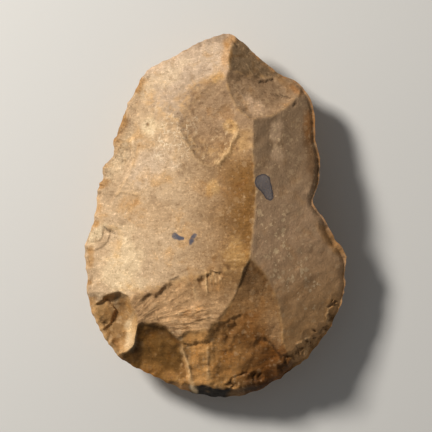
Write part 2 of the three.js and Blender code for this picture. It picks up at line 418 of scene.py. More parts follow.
# %% Distances to a line
def line_field(points, rough=0.0, seed=0):
    """Distance to a polyline, the side as a sign (positive to the right of travel), and the share along it.

    The coordinates are first shaken by noise of the given size, so that the line comes out ragged.
    """
    points = fitted(points)
    px = x + rough * uneven([(1.0, 1.6, seed), (0.6, 0.8, seed + 1)], x, y)
    py = y + rough * uneven([(1.0, 1.6, seed + 2), (0.6, 0.8, seed + 3)], x, y)
    lengths = np.linalg.norm(np.diff(points, axis=0), axis=1)
    best = np.full(len(x), np.inf)
    side, along = np.zeros(len(x)), np.zeros(len(x))
    for number, (start, end) in enumerate(zip(points[:-1], points[1:])):
        dx, dy = (end - start) / lengths[number]
        forward = (px - start[0]) * dx + (py - start[1]) * dy
        right = (px - start[0]) * dy - (py - start[1]) * dx
        held = np.clip(forward, 0, lengths[number])
        gap = np.hypot(px - start[0] - held * dx, py - start[1] - held * dy)
        closer = gap < best
        best = np.where(closer, gap, best)
        side = np.where(closer, np.sign(right), side)
        along = np.where(closer, (lengths[:number].sum() + forward) / lengths.sum(), along)
    return best, side, along


# %% [markdown]
# ## The struck surface
#
# All scars are worked out on the whole grid at once. Stone doesn't split along exact planes, so real ridges
# wander. The places where the floors are read are shaken a little for that, and more on the broken butt.

# %% Floors of the upper scars
WANDER = 0.35
BUTT_WANDER = 0.7
wander = WANDER + BUTT_WANDER * eased(-y, 28, 42) * (1 - eased(x, 14, 24))
wander_x = x + wander * uneven([(1.0, 5.0, 221), (0.5, 2.2, 222)], x, y)
wander_y = y + wander * uneven([(1.0, 5.0, 223), (0.5, 2.2, 224)], x, y)
floor_of = {}
for name, scar in UPPER_SCARS.items():
    floor_of[name] = scar_floor(wander_x, wander_y, UPPER_JUNCTIONS, *scar)
print("ridges wander by up to", np.hypot(wander_x - x, wander_y - y).max().round(2), "mm")

# %% [markdown]
# ### Scars that end at a rim
#
# Some flakes ended along a line that no plane gives: an arc below the tip, a stair at the lower left corner
# and the left edge of the triangle. Beyond such a line the floor is raised, so it soon lies above its
# neighbours and the scar stops there. Beside the triangle the step scar also falls a little, which keeps
# the edge crisp.

# %% Rims of the shoulder, the corner and the triangle
SHOULDER_ARC = [(8.2, 34.2), (12.6, 33.4), (16.7, 33.8), (21, 34.4), (25.3, 36.7), (28, 38.8), (31.3, 40.9)]
ARC_RISE = 0.16
ARC_REACH = 4.5
ARC_SINK = 0.3
CORNER_RIM = [(-45.4, -34.2), (-43.1, -32.4), (-39, -30.7), (-39.2, -29.4), (-34.1, -27.5), (-31.2, -28.9),
              (-29.9, -33.8), (-28.4, -36.7), (-28.8, -40), (-29.5, -46.2), (-32.1, -48.3)]
CORNER_RISE = 1.4
TRIANGLE_EDGE = [(12.3, -15), (10, -21.5), (7, -28.6), (3, -34.5), (-3, -41)]
TRIANGLE_RISE = 0.9
STEP_FALL = 0.07
STEP_FALL_FROM = -6
arc_gap, arc_side, _ = line_field(SHOULDER_ARC, 0.2, 231)
floor_of["shoulder"] += ARC_RISE * np.clip(arc_gap * arc_side + ARC_REACH, 0, None) ** 2 - ARC_SINK
rim_gap, rim_side, _ = line_field(CORNER_RIM, 0.12, 235)
floor_of["corner"] += CORNER_RISE * np.clip(-rim_gap * rim_side, 0, None)
triangle_gap, triangle_side, _ = line_field(TRIANGLE_EDGE, 0.15, 239)
floor_of["triangle"] += TRIANGLE_RISE * np.clip(triangle_gap * triangle_side, 0, None)
floor_of["step"] -= STEP_FALL * np.clip(x - STEP_FALL_FROM, 0, None) * eased(-y, 16, 27)
print("rims of", len(SHOULDER_ARC), len(CORNER_RIM), "and", len(TRIANGLE_EDGE), "points")

# %% [markdown]
# ### The lowest floor
#
# On the right face, the temple and the butt neighbouring scars have worn into one another, so these are
# joined softly first. The others keep crisp ridges. Near the margin a steep bevel cuts them all, and on the
# right side it leaves a narrow level rim, which is wider at the hip.

# %% Lowest floor and bevel
RIDGE_BLEND = 0.16
SOFT_BLEND = 1.4
BEVEL_BLEND = 0.5
# Rise of the bevel for each millimetre from the margin, within the rim and beyond it
KEEN_SLOPE = 0.12
UPPER_BEVEL = 2.0
RIM_FLAT = 0.75
HIP_RIM = [(38, -5.5), (42, -10), (45.5, -14)]
HIP_RIM_WIDER = 1.5
SOFT_SCARS = {
    "right": ["right_upper", "right_middle", "right_lower"],
    "temple": ["brow", "snout"],
    "butt": ["triangle", "butt_middle", "butt_right"],
}
soft_floors = {}
for group, names in SOFT_SCARS.items():
    soft_floors[group] = np.array([floor_of.pop(name) for name in names])
    floor_of[group] = smooth_lowest(soft_floors[group], SOFT_BLEND)
floors = np.array(list(floor_of.values()))
hip_gap, _, _ = line_field(HIP_RIM)
rim = RIM_FLAT * eased(x, 20, 30) * (1 + HIP_RIM_WIDER * (1 - eased(hip_gap, 1.0, 4.0)))
bevel = edge_rise + KEEN_SLOPE * edge_distance + UPPER_BEVEL * np.clip(edge_distance - rim, 0, None)
upper_height = smooth_lowest(np.array([smooth_lowest(floors, RIDGE_BLEND), bevel]), BEVEL_BLEND)
print("highest ridge", upper_height.max().round(2), "mm above the margin's plane")

# %% [markdown]
# ### How much each scar counts
#
# The difference between the lowest and the second lowest floor tells how near a point is to a ridge, which
# later decides where the stone is worn. The same floors also give weights that add up to one, for the tints.

# %% Distance to a ridge, and weights of the scars
WEIGHT_BLEND = 0.15
SOFT_WEIGHT_BLEND = 2.0
lowest_floor, second_floor = np.partition(floors, 1, axis=0)[:2]
ridge_gap = second_floor - lowest_floor


def shares(heights, blend):
    """How much each floor counts at a point: exponentials of minus height over blend, made to add up to 1."""
    weight = np.exp((heights.min(0) - heights) / blend)
    return weight / weight.sum(0)


weight_of = dict(zip(floor_of, shares(floors, WEIGHT_BLEND)))
right_share = weight_of["right"]
for group, names in SOFT_SCARS.items():
    weight_of.update(zip(names, weight_of.pop(group) * shares(soft_floors[group], SOFT_WEIGHT_BLEND)))
print(len(weight_of), "scars, the right face covers", round(100 * right_share.mean()), "% of the grid")

# %% [markdown]
# ## Steps, cracks and hollows on the upper face
#
# A flake that runs out too early breaks off short and leaves a step. Here that is done with lines: the
# distance to a polyline, and the side of it that a point is on, are enough for a wall, a groove or a lip.


# %% Walls and grooves along a line
def faded_ends(along, past, inside):
    """1 along most of a line, falling to 0 from a share inside each end to a share past it."""
    return eased(along, -past, inside) * eased(1 - along, -past, inside)


def step_down(points, drop, wall, recovery, rough, seed, fade=0.12):
    """A wall that drops on the right of the line and heals over the recovery length, fading at both ends.

    The wall starts sharply at the line and flattens out over its width, which is given at the line's
    start and end and changes evenly between them.
    """
    gap, side, along = line_field(points, rough, seed)
    signed = gap * side
    width = np.interp(along, [0, 1], wall)
    share = np.clip(signed / width, 0, 1)
    healed = np.exp(-np.clip(signed, 0, None) / recovery)
    return -drop * faded_ends(along, 0.02, fade) * share * (2 - share) * healed


def groove(points, depth, width, rough, seed):
    """A rounded groove: depth times a bell curve of the distance over the width, fading past the ends."""
    gap, _, along = line_field(points, rough, seed)
    return -depth * faded_ends(along, 0.08, 0.1) * np.exp(-(gap / width) ** 2)


# %% [markdown]
# ### Steps
#
# These are the steps and rims that can be told apart on the stone, each as a line with the low side on its
# right. Raggedness shakes the line, because a break is never smooth.

# %% Steps that short flakes left
# Steps: points, drop, wall width at both ends, recovery, raggedness, seed, and a fade if it isn't the usual
STEPS = [
    # the ragged step above the rippled scar, in two lengths
    (((-27.5, -31.5), (-24.5, -28.2), (-22.8, -27.2), (-21.5, -28.2), (-18, -25), (-15.4, -23),
      (-12.7, -21.2), (-11.6, -22.6), (-9.5, -24.6)), 1.4, (1.6, 1.8), 6.0, 0.4, 11),
    (((-7, -23.6), (-5.6, -22.2), (-3.6, -21.2), (-3, -20.6), (0.3, -19.6), (2.6, -20.2)),
     1.5, (1.6, 1.0), 4.0, 0.5, 21),
    # the lip at the foot of the bowl below the tip
    (((0.6, 16.5), (2.6, 18.6), (5.4, 22), (7.2, 26), (8.7, 29)), 0.6, (1.1, 1.1), 2.5, 0.5, 31),
    # the lower and the upper rim of that bowl
    (((0.7, 16.4), (-4.3, 17.5), (-7.5, 20.8), (-9.6, 24.2), (-11.8, 27.9), (-14, 33)),
     1.4, (2.0, 4.0), 9.0, 0.3, 81, 0.2),
    (((-15.3, 33.5), (-10.7, 37), (-3, 45), (3.6, 52)), 0.6, (3.0, 3.0), 7.0, 0.3, 91, 0.2),
    # the two knots at the head of the butt
    (((-0.4, -38), (3.2, -37.5), (6, -36), (9.4, -35)), 0.9, (1.4, 1.0), 2.5, 0.5, 141),
    (((2.6, -41.3), (5.7, -39.5), (7.6, -38)), 0.6, (1.0, 1.0), 2.0, 0.5, 151),
    # the ledge over the middle of the butt
    (((-8, -46.4), (-6.8, -45.2), (-3.4, -44.7), (-1.5, -44.5)), 0.9, (0.7, 0.7), 3.0, 0.3, 41),
    # the long rim between the left margin's flakes and the face
    (((-28.5, 30), (-29.3, 24.2), (-29.3, 17.7), (-30.5, 14.4), (-32.5, 10.7), (-34.6, 7.5),
      (-36.2, 5), (-37, 1)), 0.8, (1.2, 1.2), 6.0, 0.3, 51),
    # the rim of the shallow scar on the left face
    (((-36, 5), (-33.6, 8), (-30.3, 7.8), (-26, 6.8)), 0.3, (1.6, 1.6), 8.0, 0.3, 71),
    # the two rounded lobes of the hinge curl on the left margin
    (((-46.5, -9), (-44, -9.7), (-42.2, -9.8), (-40.6, -8.6), (-40, -6.6), (-39.8, -4.6)),
     0.55, (0.7, 0.7), 2.5, 0.1, 353),
    (((-45.8, -12.4), (-43, -12.4), (-40.3, -11.5), (-38.3, -9.4), (-37.6, -7), (-38, -4.8)),
     0.8, (0.9, 0.9), 4.0, 0.1, 349),
    # the steep rim of the corner scar, crisp above and sloping on its right
    (((-39.8, -30.4), (-39, -29.2), (-34.2, -27.3), (-31, -28.6), (-29.7, -34.2), (-28.5, -37.4),
      (-28.8, -43.1), (-29.7, -46.5), (-33.5, -49.3)), 2.7, (1.8, 4.4), 7.0, 0.15, 101, 0.05),
    # the top and the right edge of the short facet beside that scar
    (((-43.6, -32.6), (-42, -31.7), (-39, -30.7)), 0.7, (0.6, 0.6), 4.0, 0.15, 103),
    (((-37.4, -38.5), (-37, -35), (-37.2, -31.6)), 0.9, (4.5, 4.5), 4.0, 0.12, 107),
    # the lower edge of the facet beside the tip
    (((22.7, 49.6), (18.4, 48.2), (14.7, 47.2), (9, 46.3), (3.9, 46.7)), 0.7, (1.2, 1.6), 5.0, 0.35, 117),
    # the rim of the dark scar on the left of the butt
    (((-28.5, -40.1), (-26.5, -38.6), (-22, -38.6), (-17.1, -40.6), (-13.9, -43.1), (-12.1, -47),
      (-10.5, -50.6), (-9.3, -55.5), (-8.9, -59.5)), 1.5, (1.0, 1.6), 4.5, 0.25, 105, 0.05),
    # the arched rim on the right of the butt
    (((14.2, -43.1), (17.6, -44.1), (20.3, -46.3), (22.4, -49.5), (23.1, -50.9)),
     0.8, (1.0, 1.0), 6.0, 0.3, 109),
    # the ragged foot of the right face above the heel
    (((22.8, -50.6), (24.9, -49.1), (29.2, -47), (32.4, -44.1), (34.9, -42.7), (38.8, -41.8)),
     0.8, (0.8, 0.8), 4.0, 0.5, 113),
]
step_relief = sum(step_down(*step) for step in STEPS)
print("deepest step", step_relief.min().round(2), "mm")

# %% [markdown]
# ### Lips
#
# Along a step or an old edge the stone often stands up in a thin lip, which wear has bleached. A lip is a
# groove turned inside out, and the pale ones are used again when the stone is coloured. On the margin at the
# lower left corner that pale colour is painted highlight as well.

# %% Raised lips, most of which are worn pale
# Lips: points, depth, half width and raggedness in mm, and seed, where a depth below zero stands up
PALE_LIPS = [
    # the ridges beside the dark scar of the butt
    (((-12.1, -47), (-10.5, -50.6), (-9.3, -55.5), (-8.9, -59.5), (-6.8, -63)), -0.55, 0.75, 0.25, 321),
    (((-28.5, -37.4), (-28.8, -43.1), (-29.7, -46.5), (-33.5, -49.3)), -0.4, 0.9, 0.2, 325),
    (((-2.7, -47.3), (-2.5, -52.7), (-2.8, -59)), -0.25, 0.6, 0.3, 329),
    # the back of the lip below the bowl
    (((-0.2, 17.2), (1.9, 19.5), (4.6, 22.7), (6.4, 26.6), (8, 29.5)), -0.5, 0.55, 0.6, 333),
    # the lower left rim of that bowl
    (((-15, 30.5), (-12.4, 28.6), (-10.3, 24.5), (-8.2, 20.8), (-5, 17.4), (-1, 16.2)), -0.14, 0.4, 0.5, 341),
    # the rim of the shallow scar on the left face
    (((-35.6, 6.4), (-34.6, 7.7), (-32.5, 8.3), (-28.5, 7.5), (-26, 8.1)), -0.26, 0.4, 0.6, 345),
    # the rim of the left margin's flakes
    (((-29.2, 24), (-29.3, 17.7), (-30.5, 14.4), (-32.5, 10.7), (-34.6, 7.5)), -0.18, 0.42, 0.3, 391),
    # the pale left margin
    (((-39.6, 17), (-41.6, 8.5), (-43.2, -2.5), (-45.8, -8.4)), -0.16, 0.5, 0.5, 393),
    # the edge of the small facet left of the tip's ridge, and a scratch above it
    (((-2.7, 47.5), (-0.4, 49.4), (1.6, 50.6)), -0.25, 0.35, 0.2, 397),
    (((-1.9, 54.9), (1, 51.6)), -0.16, 0.22, 0.1, 401),
    # the fan of fine crests at the right end of the step
    (((-3.4, -20.3), (-3, -27.4)), -0.45, 0.42, 0.15, 357),
    (((-1.9, -19.9), (-1.5, -23.9)), -0.4, 0.4, 0.15, 361),
    (((-0.5, -19.6), (0.1, -24.2)), -0.42, 0.4, 0.15, 363),
    (((0.9, -20.1), (1.7, -23)), -0.4, 0.4, 0.15, 365),
    (((-8, -25.4), (-6.7, -29.2)), -0.25, 0.4, 0.2, 367),
    # the broken lips above the heel
    (((28.4, -45.9), (31, -44.7), (33.6, -43.8)), -0.35, 0.35, 0.35, 369),
    (((32.4, -45), (32.2, -46.3), (32.5, -49.5), (31.5, -50.9)), -0.3, 0.35, 0.35, 373),
    (((27, -54.5), (30.3, -52.8), (32.9, -51.3)), -0.2, 0.4, 0.3, 377),
    (((39.9, -33.4), (39.5, -36), (40.2, -37.7)), -0.3, 0.35, 0.35, 381),
    # the bright margin at the lower left corner, a raised lip that is pale and painted highlight too
    (((-43.3, -34.5), (-40.4, -41.1), (-36.1, -48.3), (-34, -50.6)), -0.2, 0.5, 0.3, 385),
    # a scratch on the facet beside the tip
    (((10.9, 53.5), (13.2, 49.3)), -0.16, 0.2, 0.08, 389),
]
PLAIN_LIPS = [
    # the lens between the knots at the head of the butt
    (((3.6, -38.9), (6.6, -37.6)), -0.6, 1.2, 0.2, 337),
]
lip_relief = sum(groove(*lip) for lip in PALE_LIPS + PLAIN_LIPS)
print("highest lip", lip_relief.max().round(2), "mm")

# %% [markdown]
# ### Cracks
#
# A few thin cracks run beside the tip, on the left margin and over the butt. They are narrow grooves, and
# painted shade darkens them later.

# %% Cracks
# Cracks: points, depth, half width and raggedness in mm, and seed
CRACKS = [
    # beside the tip and on the shoulder
    (((15.4, 46.7), (17.6, 47.2), (21, 48.3)), 0.9, 0.42, 0.3, 111),
    (((27.2, 38.2), (27.9, 39.2), (28.9, 39.9)), 0.45, 0.34, 0.3, 115),
    (((5.8, 62), (7.8, 59.5)), 0.4, 0.3, 0.2, 121),
    (((19.6, 42.6), (23.2, 42.2), (26.6, 41.4)), 0.2, 0.25, 0.2, 131),
    # over the foot of the butt
    (((3.2, -61), (5.8, -58.6), (8.2, -57.2), (11.4, -56)), 0.6, 0.3, 0.3, 161),
    # behind the hinge curl on the left margin
    (((-40, -4.1), (-38, -5.6), (-35.4, -7)), 0.25, 0.35, 0.2, 171),
    # at the head of the butt, and along its arched rim
    (((-11.4, -45.6), (-9.5, -46.2), (-7.8, -46.5)), 0.4, 0.35, 0.3, 181),
    (((14.2, -43.1), (17.6, -44.1), (20.3, -46.3), (22.4, -49.5), (23.4, -51.2)), 0.3, 0.4, 0.3, 185),
]
crack_relief = sum(groove(*crack) for crack in CRACKS)
print("deepest crack", crack_relief.min().round(2), "mm")

# %% [markdown]
# ### Bowls
#
# Bowls are the plainest of the small scars: an ellipse on the face, lowered most in its middle. A higher
# power makes the floor flatter and the wall steeper.


# %% Bowls on the face and along the margin
def ellipse(centre, half_length, half_width, turn):
    """Distance from the middle of a turned ellipse, as a share of the way to its rim."""
    cx, cy = fitted(centre)
    c, s = math.cos(math.radians(turn)), math.sin(math.radians(turn))
    u = ((x - cx) * c + (y - cy) * s) / half_length
    v = ((y - cy) * c - (x - cx) * s) / half_width
    return np.hypot(u, v)


def bowl(centre, half_length, half_width, turn, depth, power=2, ragged=0.0):
    """Depth times one less the elliptic distance raised to the power, inside the ragged ellipse only."""
    reach = ellipse(centre, half_length, half_width, turn) + ragged * lattice_noise(x, y, 1.3, 191)
    return -depth * np.clip(1 - np.clip(reach, 0, None) ** power, 0, None)


# Bowls: middle, half length, half width, turn in degrees, depth in mm, and a power if it isn't two
BOWLS = [
    # the deepest part of the corner scar
    ((-36.2, -36.5), 8.0, 3.4, 82, 0.8),
    # the swelling of the hinge curl on the left margin, which is a bowl turned inside out
    ((-43, -6.6), 5.0, 3.4, 60, -0.6),
    # the little scars beside the notches of the left margin
    ((-33.7, 29.1), 1.6, 1.2, 40, 0.5),
    ((-34.7, 25.8), 1.6, 1.2, 20, 0.4),
    ((-32.1, 21.7), 2.2, 1.6, 60, 0.4),
    ((-32.1, 17.2), 3.6, 2.2, 62, 0.6),
    ((-37.6, 17.7), 1.8, 1.2, 30, 0.5),
    ((-41.1, 6.6), 1.8, 0.9, 80, 0.4),
    # the pit in the pale patch and the ring left of the ridge
    ((-24, 32), 0.9, 0.8, 0, 0.35),
    ((5.3, 31), 2.0, 1.9, 0, 0.12, 6),
    # the hollows behind the crest of the butt
    ((4.5, -39.6), 2.4, 1.1, 20, 0.35),
    ((14, -57.5), 3.0, 2.2, 30, 0.9),
    # the lumps under the right end of the butt, which are bowls turned inside out
    ((7.6, -61.6), 2.0, 1.4, 40, -0.9),
    ((11.6, -60.4), 2.6, 1.5, 25, -0.8),
]
bowl_relief = sum(bowl(*one) for one in BOWLS)
print(len(BOWLS), "bowls, deepest", bowl_relief.min().round(2), "mm")

# %% [markdown]
# ### Pits
#
# Along the heel, the butt and the lower left corner splinters have broken away and left dark pits. Nobody
# could say where each pit lies, so every place gets a handful of small bowls at random, from a fixed seed.

# %% Pits in handfuls
# Pits: middle of a handful, and how far its pits scatter about it in mm
PITS = [
    ((41.6, -31.4), 1.2), ((41.2, -36.8), 1.2), ((38.6, -40.6), 1.0), ((36, -42.8), 1.6), ((33.2, -46), 1.4),
    ((29.4, -48.4), 1.6), ((26.4, -51.4), 1.8), ((24.4, -54), 1.4), ((14.8, -58.2), 1.4), ((6, -60.6), 1.0),
    ((-39.8, -38.4), 0.9),
]
PITS_IN_ONE = 7
PIT_LENGTH = 1.5
PIT_WIDTH = 0.7
PIT_RAGGED = 0.3
# Least and most of a pit's place across and up, size, turn in degrees and depth in mm
PIT_LEAST = (-1, -1, 0.5, 0, 0.4)
PIT_MOST = (1, 1, 1.1, 180, 0.9)
pit_draw = np.random.default_rng(77)
pit_relief = np.zeros(len(x))
for middle_point, scatter in PITS:
    for across, up, size, turn, depth in pit_draw.uniform(PIT_LEAST, PIT_MOST, (PITS_IN_ONE, len(PIT_MOST))):
        place = (middle_point[0] + scatter * across, middle_point[1] + scatter * up)
        pit = bowl(place, PIT_LENGTH * size, PIT_WIDTH * size, turn, depth, ragged=PIT_RAGGED)
        pit_relief = np.minimum(pit_relief, pit)
print(len(PITS) * PITS_IN_ONE, "pits, deepest", pit_relief.min().round(2), "mm")

# %% [markdown]
# ### Chips on the faces
#
# Each chip that bit the outline goes on over the face as an ellipse. Only points in a zone beside the margin
# are worked out, all chips at once, which saves most of the time.

# %% Edge chips as ellipses
CHIP_ZONE = 9.0
CHIP_MIDDLE = 0.2
root = np.rint(chips[:, 0] / margin_length * MARGIN_POINTS).astype(int) % MARGIN_POINTS
turned = np.arctan2(inward[root, 1], inward[root, 0]) + chips[:, 4]
chip_length = chips[:, 1] * chips[:, 3]


def edge_chips(xy, distance):
    """Depth of the chips, as ellipses that start at the margin and reach inward; only near the margin."""
    by_edge = np.flatnonzero(distance < CHIP_ZONE)
    from_root = xy[by_edge, None] - margin[root, :2]
    forward = from_root[..., 0] * np.cos(turned) + from_root[..., 1] * np.sin(turned)
    sideways = from_root[..., 1] * np.cos(turned) - from_root[..., 0] * np.sin(turned)
    chip_round = (forward / chip_length - CHIP_MIDDLE) ** 2 + (sideways / chips[:, 1]) ** 2
    relief = np.zeros(len(xy))
    relief[by_edge] = -(chips[:, 2] * np.clip(1 - chip_round, 0, None)).max(1)
    return relief


chip_relief = edge_chips(upper_xy, edge_distance)
print("deepest edge chip", chip_relief.min().round(2), "mm")

# %% [markdown]
# ### Torn crests
#
# The scar below the step is torn into fine crests that fan out from where the flake was struck off. Noise in
# polar coordinates around that place, stretched along the radius, gives such crests. They are strongest below
# a line under the step.

# %% Torn crests around the struck place
HACKLE_ROOT = fitted((-36, -42))
HACKLE_REACH = 20.0
HACKLE_STRETCH = 5.0
HACKLE_SWAY = 0.5
HACKLE_HEIGHT = 0.8
HACKLES_ABOVE = 0.2
HACKLE_TOP = [(-27.5, -28.2), (-21.4, -29.9), (-13.7, -28.8), (-7.4, -29.7), (4.7, -32.3)]
root_x, root_y = x - HACKLE_ROOT[0], y - HACKLE_ROOT[1]
outward = np.hypot(root_x, root_y)
fan = HACKLE_REACH * np.arctan2(root_y, root_x) + HACKLE_SWAY * lattice_noise(x, y, 4.5, 201)


def torn(cell, seed):
    """Long sharp crests: one less twice the size of noise that is stretched along the flake's direction."""
    return 1 - 2 * np.abs(lattice_noise(outward / HACKLE_STRETCH, fan, cell, seed))


hackles = (torn(1.4, 202) + torn(0.8, 203)) / 2
patchy = (1 + eased(lattice_noise(x, y, 5, 204), -0.5, 0.5)) / 2
top_gap, top_side, _ = line_field(HACKLE_TOP, 0.4, 205)
below_top = HACKLES_ABOVE + (1 - HACKLES_ABOVE) * eased(top_gap * top_side, -1.5, 1.0)
hackle_zone = weight_of["step"] * eased(-x, -12, 4) * patchy * below_top
hackle_relief = HACKLE_HEIGHT * hackles * hackle_zone
print("torn crests", np.ptp(hackle_relief).round(2), "mm")

# %% [markdown]
# ### Flutes
#
# At the right end of the step the break is finely fluted. A sine wave across the flutes is enough, swayed by
# noise and faded away from the step.

# %% Flutes at the right end of the step
FLUTE_HEAD = [(-3.5, -21), (0.3, -19.6), (3, -20)]
FLUTE_SPACING = 1.3
FLUTE_SLANT = 0.2
FLUTE_SWAY = 0.35
FLUTE_HEIGHT = 0.2
flute_gap, flute_side, flute_along = line_field(FLUTE_HEAD)
across_flutes = x + FLUTE_SLANT * y + FLUTE_SWAY * lattice_noise(x, y, 2.2, 217)
flutes = np.sin(2 * np.pi * across_flutes / FLUTE_SPACING)
flute_fade = eased(flute_side * flute_gap, 0, 0.6) * (1 - eased(flute_gap, 2, 7))
flute_relief = FLUTE_HEIGHT * flutes * flute_fade * faded_ends(flute_along, 0.05, 0.1)
print("flutes", np.ptp(flute_relief).round(2), "mm")

# %% [markdown]
# ### A gentle roll
#
# Everywhere else the surface only rolls a little. The facets near the tip are streaked along one direction,
# the butt is lumpy, and the right face and two facets of the butt are smoother than the rest. All of it
# calms down towards the margin, so that the edge stays keen.

# %% Roll, grit, lumps and streaks
# Noises: height in mm, cell size in mm and seed
ROLL_AND_GRIT = [(0.16, 6.5, 211), (0.09, 2.6, 212), (0.04, 1.1, 213), (0.03, 0.7, 214)]
BUTT_LUMPS = [(0.08, 3.4, 215), (0.13, 1.0, 216)]
STREAKS = [(0.16, 1.5, 218)]
STREAK_TURN = math.radians(43)
STREAK_STRETCH = 6
STREAKED = ["brow", "snout", "bowl", "tip", "shoulder"]
SMOOTH_RIGHT = 0.8
SMOOTH_BUTT = {"butt_left": 0.6, "butt_right": 0.45}
CALM_EDGE = 2.5
streak_along = (x * math.cos(STREAK_TURN) + y * math.sin(STREAK_TURN)) / STREAK_STRETCH
streak_across = y * math.cos(STREAK_TURN) - x * math.sin(STREAK_TURN)
streaks = uneven(STREAKS, streak_along, streak_across) * sum(weight_of[name] for name in STREAKED)
lumps = eased(-y, 30, 44) * uneven(BUTT_LUMPS, x, y)
smoother = 1 - SMOOTH_RIGHT * right_share - sum(less * weight_of[name] for name, less in SMOOTH_BUTT.items())
calm = eased(edge_distance, 0, CALM_EDGE)
roll_relief = (streaks + uneven(ROLL_AND_GRIT, x, y) + lumps) * smoother * calm
print("roll", np.ptp(roll_relief).round(2), "mm")

# %% [markdown]
# ## The underside
#
# Nobody sees the lower face while the stone lies down, but it is struck in the same way, with fewer and
# larger scars. They surround a flat that the stone rests on. The flat must stay level, so every depth stops
# at the same value there.

# %% Height of the lower face
LOWER_BEVEL = 1.15
LOWER_ROLL = [(0.10, 6.0, 301), (0.05, 2.4, 302)]
LOWER_POLE = fitted((0, -2))
LOWER_GRID = GRID // 2
LOWER_INSET = 0.985
ON_THE_TABLE = 1e-6


def lower_height(px, py, distance, rise):
    """Height of the lower face: the margin's plane less the least of scars, bevel and flat."""
    depths = [scar_floor(px, py, LOWER_JUNCTIONS, *scar) for scar in LOWER_SCARS.values()]
    depths = np.array(depths + [LOWER_BEVEL * distance - rise])
    depth = smooth_lowest(depths, RIDGE_BLEND)
    depth += uneven(LOWER_ROLL, px, py) * eased(distance, 0, CALM_EDGE)
    depth = np.maximum(depth, KEEN_SLOPE * distance - rise)
    return MARGIN_HEIGHT - np.minimum(depth, MARGIN_HEIGHT)


lower_share, lower_turn = square_rings(LOWER_GRID)
lower_xy = bend_to_margin(lower_share * LOWER_INSET, lower_turn, LOWER_POLE)
lower_distance, lower_rise = nearest_margin(*lower_xy.T)
lower_z = lower_height(*lower_xy.T, lower_distance, lower_rise + edge_chips(lower_xy, lower_distance))
print("lower face:", len(lower_z), "points,", int((lower_z < ON_THE_TABLE).sum()), "of them on the table")

# %% [markdown]
# ## The finished upper face
#
# All the relief is added to the struck surface. Near the margin that could cut through to the lower face.
# So the sum is held above a least slope, with a soft bend, and above the lower face by a thin wedge. In the
# lower left corner the least slope runs down instead of up, which leaves room for the deep corner scar.

# %% Add up the upper face
HOLLOW_SLOPE = 0.4
LEAST_BLEND = 0.04
HOLLOW_BLEND = 0.3
WEDGE_SLOPE = 0.2
reliefs = [step_relief, lip_relief, crack_relief, bowl_relief, pit_relief, chip_relief]
reliefs += [hackle_relief, flute_relief, roll_relief]
struck = upper_height + sum(reliefs)
hollow_corner = eased(-x, 15, 25) * eased(-y, 15, 25)
least_slope = KEEN_SLOPE * (1 - hollow_corner) - HOLLOW_SLOPE * hollow_corner
least = edge_rise + chip_relief + least_slope * edge_distance
least_blend = LEAST_BLEND + HOLLOW_BLEND * hollow_corner
struck = least + least_blend * np.logaddexp(0, (struck - least) / least_blend)
below = lower_height(x, y, edge_distance, edge_rise + chip_relief)
upper_z = np.maximum(MARGIN_HEIGHT + struck, below + WEDGE_SLOPE * edge_distance)
print("upper face from", upper_z.min().round(2), "to", upper_z.max().round(2), "mm above the table")

# %% [markdown]
# ## One closed mesh
#
# The upper grid ends on the margin and the lower grid stops just inside it with half as many points, so a
# strip of triangles joins them. The faces are made as whole index arrays and put into the mesh at once.


# %% Join the two faces
def grid_faces(count, first):
    """Corner numbers of the square grid's cells, anticlockwise seen from above."""
    number = first + np.arange((count + 1) ** 2).reshape(count + 1, count + 1)
    return np.stack([number[:-1, :-1], number[1:, :-1], number[1:, 1:], number[:-1, 1:]], -1).reshape(-1, 4)


def rim_loop(share, turn, count, first):
    """Vertex numbers of the outermost ring, in order of turn."""
    rim = np.flatnonzero(share > 1 - 1e-9)
    loop = np.empty(4 * count, int)
    loop[np.rint(turn[rim] * 4 * count).astype(int) % (4 * count)] = first + rim
    return loop


upper_quads = grid_faces(GRID, 0)
lower_quads = grid_faces(LOWER_GRID, len(x))[:, ::-1]
outer = rim_loop(upper_share, upper_turn, GRID, 0)
inner = rim_loop(lower_share, lower_turn, LOWER_GRID, len(x))
inner_next, here, half, there = np.roll(inner, -1), outer[0::2], outer[1::2], np.roll(outer[0::2], -1)
strip = np.concatenate([
    np.stack([here, inner, half], 1),
    np.stack([half, inner, inner_next], 1),
    np.stack([half, inner_next, there], 1),
])
points = np.vstack([np.column_stack([upper_xy, upper_z]), np.column_stack([lower_xy, lower_z])]) * MILLIMETRE
quads = np.vstack([upper_quads, lower_quads])
corners = np.concatenate([quads.ravel(), strip.ravel()]).astype(np.int32)
sizes = np.concatenate([np.full(len(quads), 4), np.full(len(strip), 3)])
starts = np.concatenate([[0], np.cumsum(sizes)[:-1]]).astype(np.int32)
print("faces joined by", len(strip), "triangles along the margin")

# %% [markdown]
# Lists of points and faces would be slow for so many of them, so Blender takes the arrays whole. Edges that
# are sharper than a set angle stay sharp, and everything else is shaded smooth.

# %% Put the arrays into a mesh
SHARP_EDGE = math.radians(50)
mesh = bpy.data.meshes.new("flaked_stone")
mesh.vertices.add(len(points))
mesh.vertices.foreach_set("co", points.astype(np.float32).ravel())
mesh.loops.add(len(corners))
mesh.loops.foreach_set("vertex_index", corners)
mesh.polygons.add(len(starts))
mesh.polygons.foreach_set("loop_start", starts)
mesh.polygons.foreach_set("use_smooth", np.ones(len(starts), bool))
mesh.update(calc_edges=True)
mesh.validate()
mesh.set_sharp_from_angle(angle=SHARP_EDGE)
flaked_stone = bpy.data.objects.new("flaked_stone", mesh)
bpy.context.scene.collection.objects.link(flaked_stone)
print("stone mesh:", len(points), "points,", 2 * len(quads) + len(strip), "triangles")
